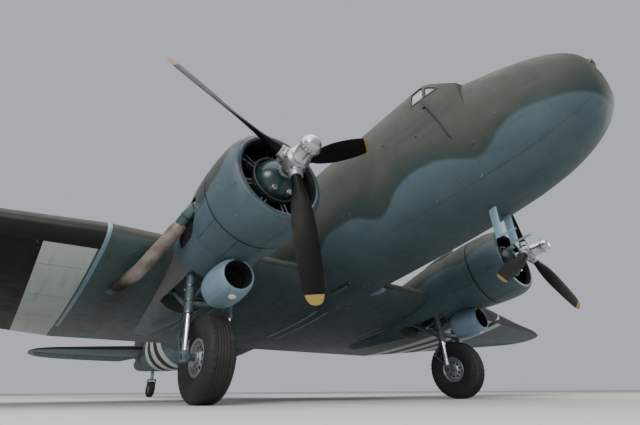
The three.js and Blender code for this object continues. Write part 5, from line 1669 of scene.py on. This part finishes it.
def main_leg():
    shape = Shape()
    y, z = MAIN_AXLE_Y, MAIN_AXLE_Z
    for side in (-1, 1):
        x = ENGINE_X + side * LEG_SPREAD
        mid = np.array([x, 5010, -640])
        axle = np.array([x, y, z])
        top = np.array([x, 4985, 190])
        down = (axle - mid) / np.linalg.norm(axle - mid)
        shape.bar(top, mid, 62, 62, "plain_grey", 32)
        for at in (0.18, 0.55, 0.8):
            point = top + (mid - top) * at
            shape.turned([[61, 0], [72, 3], [72, 22], [61, 25]], point, mid - top, "steel", 32)
        shape.turned([[40, -6], [68, -6], [70, 2], [70, 26], [56, 34], [40, 34]], mid, down, "steel", 32)
        shape.bar(mid - down * 20, axle, 44, 44, "chrome", 32)
        lug = [[ON_AXIS, -78], [60, -78], [70, -66], [70, 50], [58, 72], [ON_AXIS, 72]]
        shape.turned(lug, axle, down, "plain_grey", 32)
        eye = [[ON_AXIS, -48], [66, -48], [72, -42], [72, 42], [66, 48], [ON_AXIS, 48]]
        shape.turned(eye, axle, PORT, "plain_grey", 32)
        shape.studs(circle(axle + (side * 47, 0, 0), PORT, 52, 6), (side, 0, 0), 8, 9, "steel")
        knee = np.array([x, y + 230, -905])
        for at in (mid + (0, 40, -20), axle + (0, 30, 66)):
            for off in (-26, 26):
                shape.bar(at + (off, 0, 0), knee + (off * 0.6, 0, 0), 15, 12, "plain_grey", 12)
        shape.bar(knee - (30, 0, 0), knee + (30, 0, 0), 17, 17, "steel", 16)
        brace_low, brace_high = np.array([x, 5010, -600]), np.array([x, 5965, 120])
        shape.tube([brace_low + (brace_high - brace_low) * t for t in (0, 0.06, 0.08, 0.5, 0.92, 0.94, 1)],
                   [22, 26, 34, 34, 34, 26, 22], "plain_grey", 20)
        shape.bar(brace_low - (46, 0, 0), brace_low + (46, 0, 0), 20, 20, "steel", 16)
        hose = [mid + (side * 64, 20, 480), mid + (side * 66, 24, 60), mid + (side * 58, 90, -120),
                axle + (side * 50, 70, 200), axle + (side * 30, 40, 60)]
        shape.tube(eased_path(hose, 24), 7, "black_rubber", 8)
        union = [[ON_AXIS, 0], [13, 0], [13, 26], [ON_AXIS, 26]]
        shape.turned(union, mid + (side * 66, 22, 300), UP, "steel", 12)
    x = ENGINE_X
    port_end, inner_end = x + AXLE_REACH, x - AXLE_REACH
    shape.bar((inner_end, y, z), (port_end, y, z), 40, 40, "steel", 32)
    shape.bar((inner_end - 8, y, z), (inner_end + 30, y, z), 52, 52, "dark_steel", 8)
    shape.bar((port_end - 30, y, z), (port_end + 8, y, z), 52, 52, "dark_steel", 8)
    for py, pz, r in ((5005, -520, 42), (4992, -60, 48), (5560, -190, 26)):
        shape.bar((x - LEG_SPREAD, py, pz), (x + LEG_SPREAD, py, pz), r, r, "plain_grey", 24)
        for dx in (-235, 235):
            shape.bar((x + dx - 14, py, pz), (x + dx + 14, py, pz), r + 6, r + 6, "steel", 24)
    for side in (-1, 1):
        shape.bar((x + side * 280, 5005, -500), (x, 4992, -90), 20, 20, "plain_grey", 16)
    shape.convex([(x + a, b, c) for a in (-60, 60)
                  for b, c in ((4960, -20), (5024, -20), (4960, -130), (5024, -130))],
                 "plain_grey")
    shape.bar((x, 4992, -60), (x, 5560, -190), 22, 22, "chrome", 20)
    shape.bar((x, 5100, -84), (x, 5480, -172), 38, 38, "plain_grey", 24)
    both(shape, "gear_leg_{}_detail", replaces="gear_leg_{}")


def tail_gear():
    y = TAIL_POST_Y
    shape = Shape()
    strut = [[ON_AXIS, 905.5], [60, 905.5], [62, 912], [62, 1000], [58, 1006], [58, 1120], [66, 1126],
             [66, 1150], [58, 1156], [58, 1400], [ON_AXIS, 1400]]
    shape.turned(strut, (0, y, 0), UP, "pale_grey", 32)
    shape.bar((0, y, 965), (0, 16050, 1300), 34, 34, "pale_grey", 24)
    shape.bar((-52, y - 6, 968), (52, y - 6, 968), 20, 20, "steel", 16)
    hose = [(40, y + 50, 1300), (52, y + 56, 1150), (50, y + 50, 1000), (44, y + 40, 940)]
    shape.tube(eased_path(hose, 12), 6, "black_rubber", 8)
    leg = solid(shape)
    boolean(leg, [tail_core("pale_grey")])
    place(largest(leg), "tail_leg_detail", replaces=["tail_leg"])

    fork = Shape()
    crown = [[ON_AXIS, 836], [50, 836], [55, 842], [55, 890], [50, 905], [ON_AXIS, 905]]
    fork.turned(crown, (0, y, 0), UP, "steel", 32)
    fork.convex([(a, b, c) for a in (-152, 152) for b in (y - 42, y + 42) for c in (822, 843)]
                + [(a, b, 850) for a in (-120, 120) for b in (y - 55, y + 55)]
                + [(a, b, 815) for a in (-140, 140) for b in (y - 30, y + 30)], "plain_grey")
    for side in (-1, 1):
        x = side * 141
        outline = [(y - 55, 840), (y + 55, 840), (y + 78, 760), (TAIL_AXLE_Y + 44, TAIL_AXLE_Z + 20)]
        outline += [(TAIL_AXLE_Y + 46 * math.cos(t), TAIL_AXLE_Z + 46 * math.sin(t))
                    for t in np.linspace(0, -math.pi, 10)]
        outline += [(TAIL_AXLE_Y - 48, TAIL_AXLE_Z + 30), (y - 20, 700)]
        fork.loft([[(x + d, b, c) for b, c in outline] for d in (-10, 10)], "plain_grey")
        fork.bar(TAIL_AXLE + (side * 150, 0, 0), TAIL_AXLE + (side * 166, 0, 0), 27, 27, "steel", 6)
    fork.bar(TAIL_AXLE - (135, 0, 0), TAIL_AXLE + (135, 0, 0), 20, 20, "steel", 24)
    place(fork, "tail_fork_detail", "tail_fork", ["tail_fork"])

    rubber = moved(tyre(TAIL_TYRE_RADIUS, 210, 105, 24, 5), TAIL_AXLE)
    place(rubber, "tail_tyre_detail", "tail_wheel", ["tail_tyre"], 28)
    face = [[21.5, -84], [38, -84], [42, -78], [44, -60], [70, -48], [88, -50], [92, -62], [104, -68],
            [113, -73], [115, -66], [104.5, -62]]
    hub = Shape().turned(both_faces(face), TAIL_AXLE, PORT, "dull_alloy", 48)
    for s in (-1, 1):
        hub.studs(circle(TAIL_AXLE + (s * 49, 0, 0), PORT, 74, 8), (s, 0, 0), 5, 6, "steel")
    place(hub, "tail_wheel_detail", "tail_wheel", ["tail_wheel"])


PITOT_X = 190


def pitot_masts():
    for sign, tag in SIDES:
        x = sign * PITOT_X
        shape = Shape()
        rings = []
        for z in np.linspace(480, -334, 12):
            y = 1780 + (500 - z) * 0.12
            half = 64 - 10 * (480 - z) / 814
            rings.append([(x + 12 * math.sin(t) * (1.25 if math.cos(t) < 0 else 0.8),
                           y + half * math.cos(t), z)
                          for t in np.linspace(0, 2 * math.pi, 20, endpoint=False)])
        shape.loft(rings, "pale_grey")
        head = [[ON_AXIS, 1642], [9, 1642], [13, 1650], [15.5, 1680], [16, 1720], [16, 1900], [9, 1936],
                [ON_AXIS, 1939]]
        shape.turned(head, (x, 0, -330), AFT, "pale_grey", 20)
        # The tip's open end is painted shade, a black disc.
        shape.bar((x, 1640, -330), (x, 1660, -330), 7, 7, "void_black", 12)
        mast = solid(shape)
        boolean(mast, [hull(MAIN, 1360, NOSE_END - 1, FIT, 40, "pale_grey")])
        place(mast, "pitot_mast_detail_" + tag, replaces=["pitot_mast_" + tag])


# Fittings on the skin, lights and the inside


def belly_z(x, y):
    """Height of the fuselage's underside, on the curve that ring draws."""
    _, half, _, bottom, middle, _ = row_at(MAIN if y > MAIN_ROWS[0][0] else NOSE, y)
    share = min(1.0, abs(x) / half)
    power = LOWER_POWER / 2
    return middle - (middle - bottom) * (1 - share ** (1 / power)) ** power


def wing_under(x, y):
    row = WING_CENTRE_ROW if abs(x) <= WING_JOINT_X else row_at(OUTER_WING, abs(x))
    return float(surface_z(row, y, -1))


# Rails under the wing: x, front, back, width, height
UNDER_RAILS = [
    (-130, 5870, 7850, 34, 16), (130, 5870, 7850, 34, 16),
    (-2120, 6300, 7900, 26, 12), (-2360, 6300, 7900, 26, 12), (2120, 6300, 7900, 26, 12),
    (2360, 6300, 7900, 26, 12),
]
UNDER_PLUGS = [(-440, 5630), (440, 5630), (-300, 6680), (300, 6680), (-300, 7600), (300, 7600)]
# Drains and ports in the belly: x, y, radius
BELLY_PORTS = [(-160, 2270, 26), (-300, 3330, 22), (400, 3310, 26), (300, 2780, 20), (-100, 4480, 46),
               (120, 1700, 18)]


def under_fittings():
    shape = Shape()
    for x, front, back, width, height in UNDER_RAILS:
        rings = []
        for y in np.linspace(front, back, 16):
            ease = min(1, (y - front) / 120 + 0.25, (back - y) / 120 + 0.25)
            z = wing_under(x, y)
            rings.append([(x - width / 2, y, z + 3), (x + width / 2, y, z + 3),
                          (x + width * 0.32, y, z - height * ease), (x - width * 0.32, y, z - height * ease)])
        shape.loft(rings, "pale_grey")
    for x, y in UNDER_PLUGS:
        shape.fitting((x, y, wing_under(x, y)), DOWN, 28,
                      red_plug=[[ON_AXIS, -4], [40, -4], [42, 4], [30, 9], [ON_AXIS, 10]],
                      plain_grey=[[42.5, -3], [58, -3], [58, 2], [42.5, 3]])
    for x, y, radius in BELLY_PORTS:
        bore, flange = radius * 0.7, radius * 1.4
        # Each port's bore is painted shade, a black disc.
        shape.fitting((x, y, belly_z(x, y)), (x / 1500, 0, -1), 24,
                      plain_grey=[[bore, -8], [flange, -8], [flange, 3], [radius, 5], [bore, 3]],
                      void_black=[[ON_AXIS, -6], [bore, -6], [bore, 1], [ON_AXIS, 1]])
    drain = eased_path([(-380, 4600, belly_z(-380, 4600) + 6), (-385, 4640, belly_z(-385, 4640) - 34),
                        (-390, 4860, belly_z(-390, 4860) - 42), (-395, 5080, belly_z(-395, 5080) - 30),
                        (-395, 5120, belly_z(-395, 5120) + 12)], 20)
    shape.tube(drain, 22, "plain_grey", 14)
    mouth = belly_z(-384, 4640) - 34
    shape.bar((-384, 4600, mouth), (-384, 4650, mouth - 1), 30, 24, "black_rubber", 20)
    rings = []
    for y, half, depth in ((4660, 52, 40), (4700, 68, 74), (4780, 76, 86), (4900, 74, 78), (5020, 58, 46),
                           (5110, 26, 8)):
        z = belly_z(600, y)
        rings.append([(600 + half * math.cos(t), y, z + 12 - (depth + 12) * abs(math.sin(t)) ** 0.8)
                      for t in np.linspace(math.pi, 2 * math.pi, 17)])
    # The fairing's end faces are painted shade in flat black, as its open mouth.
    shape.loft(rings, "pale_grey", cap_finish="void_black")
    both_sides = Shape()
    for x0, x1 in ((WING_JOINT_X - 26, WING_JOINT_X - 1), (WING_JOINT_X + 1, WING_JOINT_X + 26)):
        rows = [list(row_at(OUTER_WING, max(x, WING_JOINT_X))) for x in (x0, x1)]
        for row, x in zip(rows, (x0, x1)):
            row[0] = x
        both_sides.take(wing(rows, "pale_grey", 3))
    strap = solid(both_sides)
    boolean(strap, [Shape().block((3000, 8300, -2000), (6000, 12000, 3000), "pale_grey", SQUARE)])
    bolts = Shape()
    for y in np.arange(4960, 8280, 84):
        for dx in (-14, 14):
            bolts.studs([(WING_JOINT_X + dx, y, wing_under(WING_JOINT_X, y) - 2)], DOWN, 6, 4, "pale_grey", 8)
    both(join_objects([strap, bolts]), "wing_joint_strap_{}")
    place(shape, "under_fittings")


# Scoops, probes and lamps on the fuselage and wings

# Observation dome, aerial mast and keel fairing on the middle line
DOME_Y, DOME_RADIUS, DOME_HEIGHT = 3650, 250, 192
MAST_Y, KEEL_Y = 2700, 9600


def oval(y, half_x, half_y, z, count):
    turn = np.linspace(0, 2 * math.pi, count, endpoint=False)
    return [(half_x * math.cos(t), y + half_y * math.sin(t), z) for t in turn]


def side_fittings():
    shape = Shape()
    rod = [(-side_x(1880, 1790, 14), 1880, 1790), (-side_x(1830, 1600, 26), 1830, 1600),
           (-side_x(1740, 1250, 26), 1740, 1250), (-side_x(1690, 960, 22), 1690, 960),
           (-side_x(1680, 900, -6), 1680, 900)]
    thickness = np.interp(np.linspace(0, 1, 22), [0, 0.12, 0.25, 0.45, 1], [7, 15, 17, 8, 4])
    shape.tube(eased_path(rod, 22), thickness, "black_rubber", 10)
    shape.convex([(-side_x(y, z, grow), y, z)
                  for y, z in ((1835, 1660), (1900, 1650), (1880, 1840), (1930, 1830))
                  for grow in (-6, 22)], "black_rubber")
    for y, z in ((2140, 1260), (2700, 1500), (1480, 700)):
        # Each vent's hole is painted shade, a black disc.
        shape.fitting((-side_x(y, z), y, z), STARBOARD, 20,
                      plain_olive=[[12, -5], [26, -5], [26, 3], [18, 5], [12, 3]],
                      void_black=[[ON_AXIS, -4], [12, -4], [12, 1], [ON_AXIS, 1]])
    lug = [(28, 1212), (112, 1425), (10, 1250), (2, 1290), (70, 1450)]
    shape.convex([(x, y, z) for x in (-22, 22) for y, z in lug], "dark_steel")
    shape.bar((-36, 28, 1330), (36, 28, 1330), 14, 14, "steel", 14)
    shape.bar((-34, 28, 1330), (34, 28, 1330), 24, 24, "dark_steel", 20)
    arc = [[DOME_RADIUS * math.cos(t), DOME_HEIGHT * math.sin(t)] for t in np.linspace(1.45, 0.05, 14)]
    dome = [[ON_AXIS, DOME_HEIGHT]] + arc + [[DOME_RADIUS, -30], [ON_AXIS, -30]]
    shape.fitting((0, DOME_Y, row_at(MAIN, DOME_Y)[2] - 10), UP, 48, window_glass=dome,
                  plain_olive=[[246, -36], [276, -36], [276, 6], [268, 14], [251, 14]])
    foot = row_at(MAIN, MAST_Y)[2]
    shape.loft([oval(MAST_Y + rake, half * 0.28, half, foot + rise, 16)
                for rise, half, rake in ((-12, 60, 0), (180, 44, 40), (350, 26, 76))], "plain_olive")
    keel = belly_z(0, KEEL_Y)
    shape.loft([oval(KEEL_Y, 18, 110, keel + rise, 20) for rise in (8, -60)], "plain_grey")
    place(shape, "fuselage_fittings")


TIP_LAMP_X, TIP_LAMP_SHARE = 14330, 0.22


def wing_lamps():
    row = row_at(OUTER_WING, TIP_LAMP_X)
    y = chord(row, TIP_LAMP_SHARE)
    foot = float(surface_z(row, y, 1)) - 4
    lamp = [[ON_AXIS, 42], [16, 40], [28, 32], [36, 18], [38, 0], [ON_AXIS, 0]]
    for (sign, tag), colour in zip(SIDES, ("red_glass", "green_glass")):
        at = (sign * TIP_LAMP_X, y, foot)
        shape = Shape().turned(lamp, at, UP, colour, 32)
        shape.turned([[38.5, -8], [50, -8], [50, 4], [38.5, 6]], at, UP, "dull_alloy", 32)
        place(shape, "tip_lamp_" + tag)


# Inside: finishes for the plain solids that show through the doors and windows

CAD_FINISHES = {
    "cargo_floor": "floor_metal", "bench_port": "seat_metal", "bench_stbd": "seat_metal",
    "crew_seats": "seat_metal", "instrument_panel": "instrument_black",
}


def dress_solids():
    for body in bpy.data.objects:
        if body.type == "MESH" and body.name in CAD_FINISHES:
            body.data.materials.clear()
            body.data.materials.append(MATERIALS[CAD_FINISHES[body.name]])


# Camera, floor and light


def add_camera():
    data = bpy.data.cameras.new("camera")
    data.sensor_width = 36
    data.lens = CAMERA["focal_px"] / PHOTO_WIDTH * data.sensor_width
    data.clip_start = 0.05
    data.clip_end = 500
    camera = bpy.data.objects.new("camera", data)
    bpy.context.scene.collection.objects.link(camera)
    yaw, pitch, roll = (math.radians(CAMERA[k]) for k in ("yaw", "pitch", "roll"))
    aim = Vector((math.cos(pitch) * math.cos(yaw), math.cos(pitch) * math.sin(yaw), math.sin(pitch)))
    camera.rotation_mode = "QUATERNION"
    camera.rotation_quaternion = aim.to_track_quat("-Z", "Y")
    camera.location = (CAMERA["x"], CAMERA["y"], CAMERA["z"])
    bpy.context.view_layer.update()
    camera.matrix_world = camera.matrix_world @ Matrix.Rotation(-roll, 4, "Z")
    bpy.context.scene.camera = camera


def add_stage():
    mesh = bpy.data.meshes.new("floor")
    mesh.from_pydata([(-300, -300, 0), (300, -300, 0), (300, 300, 0), (-300, 300, 0)], [], [(0, 1, 2, 3)])
    floor = bpy.data.objects.new("floor", mesh)
    bpy.context.scene.collection.objects.link(floor)
    material = bpy.data.materials.new("floor")
    material.use_nodes = True
    shader = material.node_tree.nodes["Principled BSDF"]
    shader.inputs["Base Color"].default_value = (0.55, 0.55, 0.54, 1)
    shader.inputs["Roughness"].default_value = 0.9
    mesh.materials.append(material)
    world = bpy.data.worlds.new("sky")
    world.use_nodes = True
    world.node_tree.nodes["Background"].inputs["Color"].default_value = (0.9, 0.93, 1, 1)
    world.node_tree.nodes["Background"].inputs["Strength"].default_value = 0.55
    bpy.context.scene.world = world
    for name, place_at, aim, power, size in LAMPS:
        data = bpy.data.lights.new(name, "AREA")
        data.energy, data.size, data.color = power, size, (1, 0.97, 0.92)
        lamp = bpy.data.objects.new(name, data)
        lamp.location = place_at
        lamp.rotation_mode = "QUATERNION"
        lamp.rotation_quaternion = (Vector(aim) - Vector(place_at)).to_track_quat("-Z", "Y")
        bpy.context.scene.collection.objects.link(lamp)


LAMPS = [
    ("roof_light", (-6, -4, 22), (0, 0, 3), 7000, 32),
    ("key_light", (-16, -16, 9), (0, -3, 3), 2200, 7),
    ("side_light", (18, -18, 8), (2, -4, 3), 1500, 8),
]


add_camera()
add_stage()
nose()
cabin()
tail()
centre_section()
outer_wing()
tailplane()
fin()
nacelle()
cowl()
engine()
propeller("port", 1, 2)
propeller("stbd", -1, 57)
exhaust()
main_wheel()
main_leg()
tail_gear()
pitot_masts()
under_fittings()
side_fittings()
wing_lamps()
dress_solids()
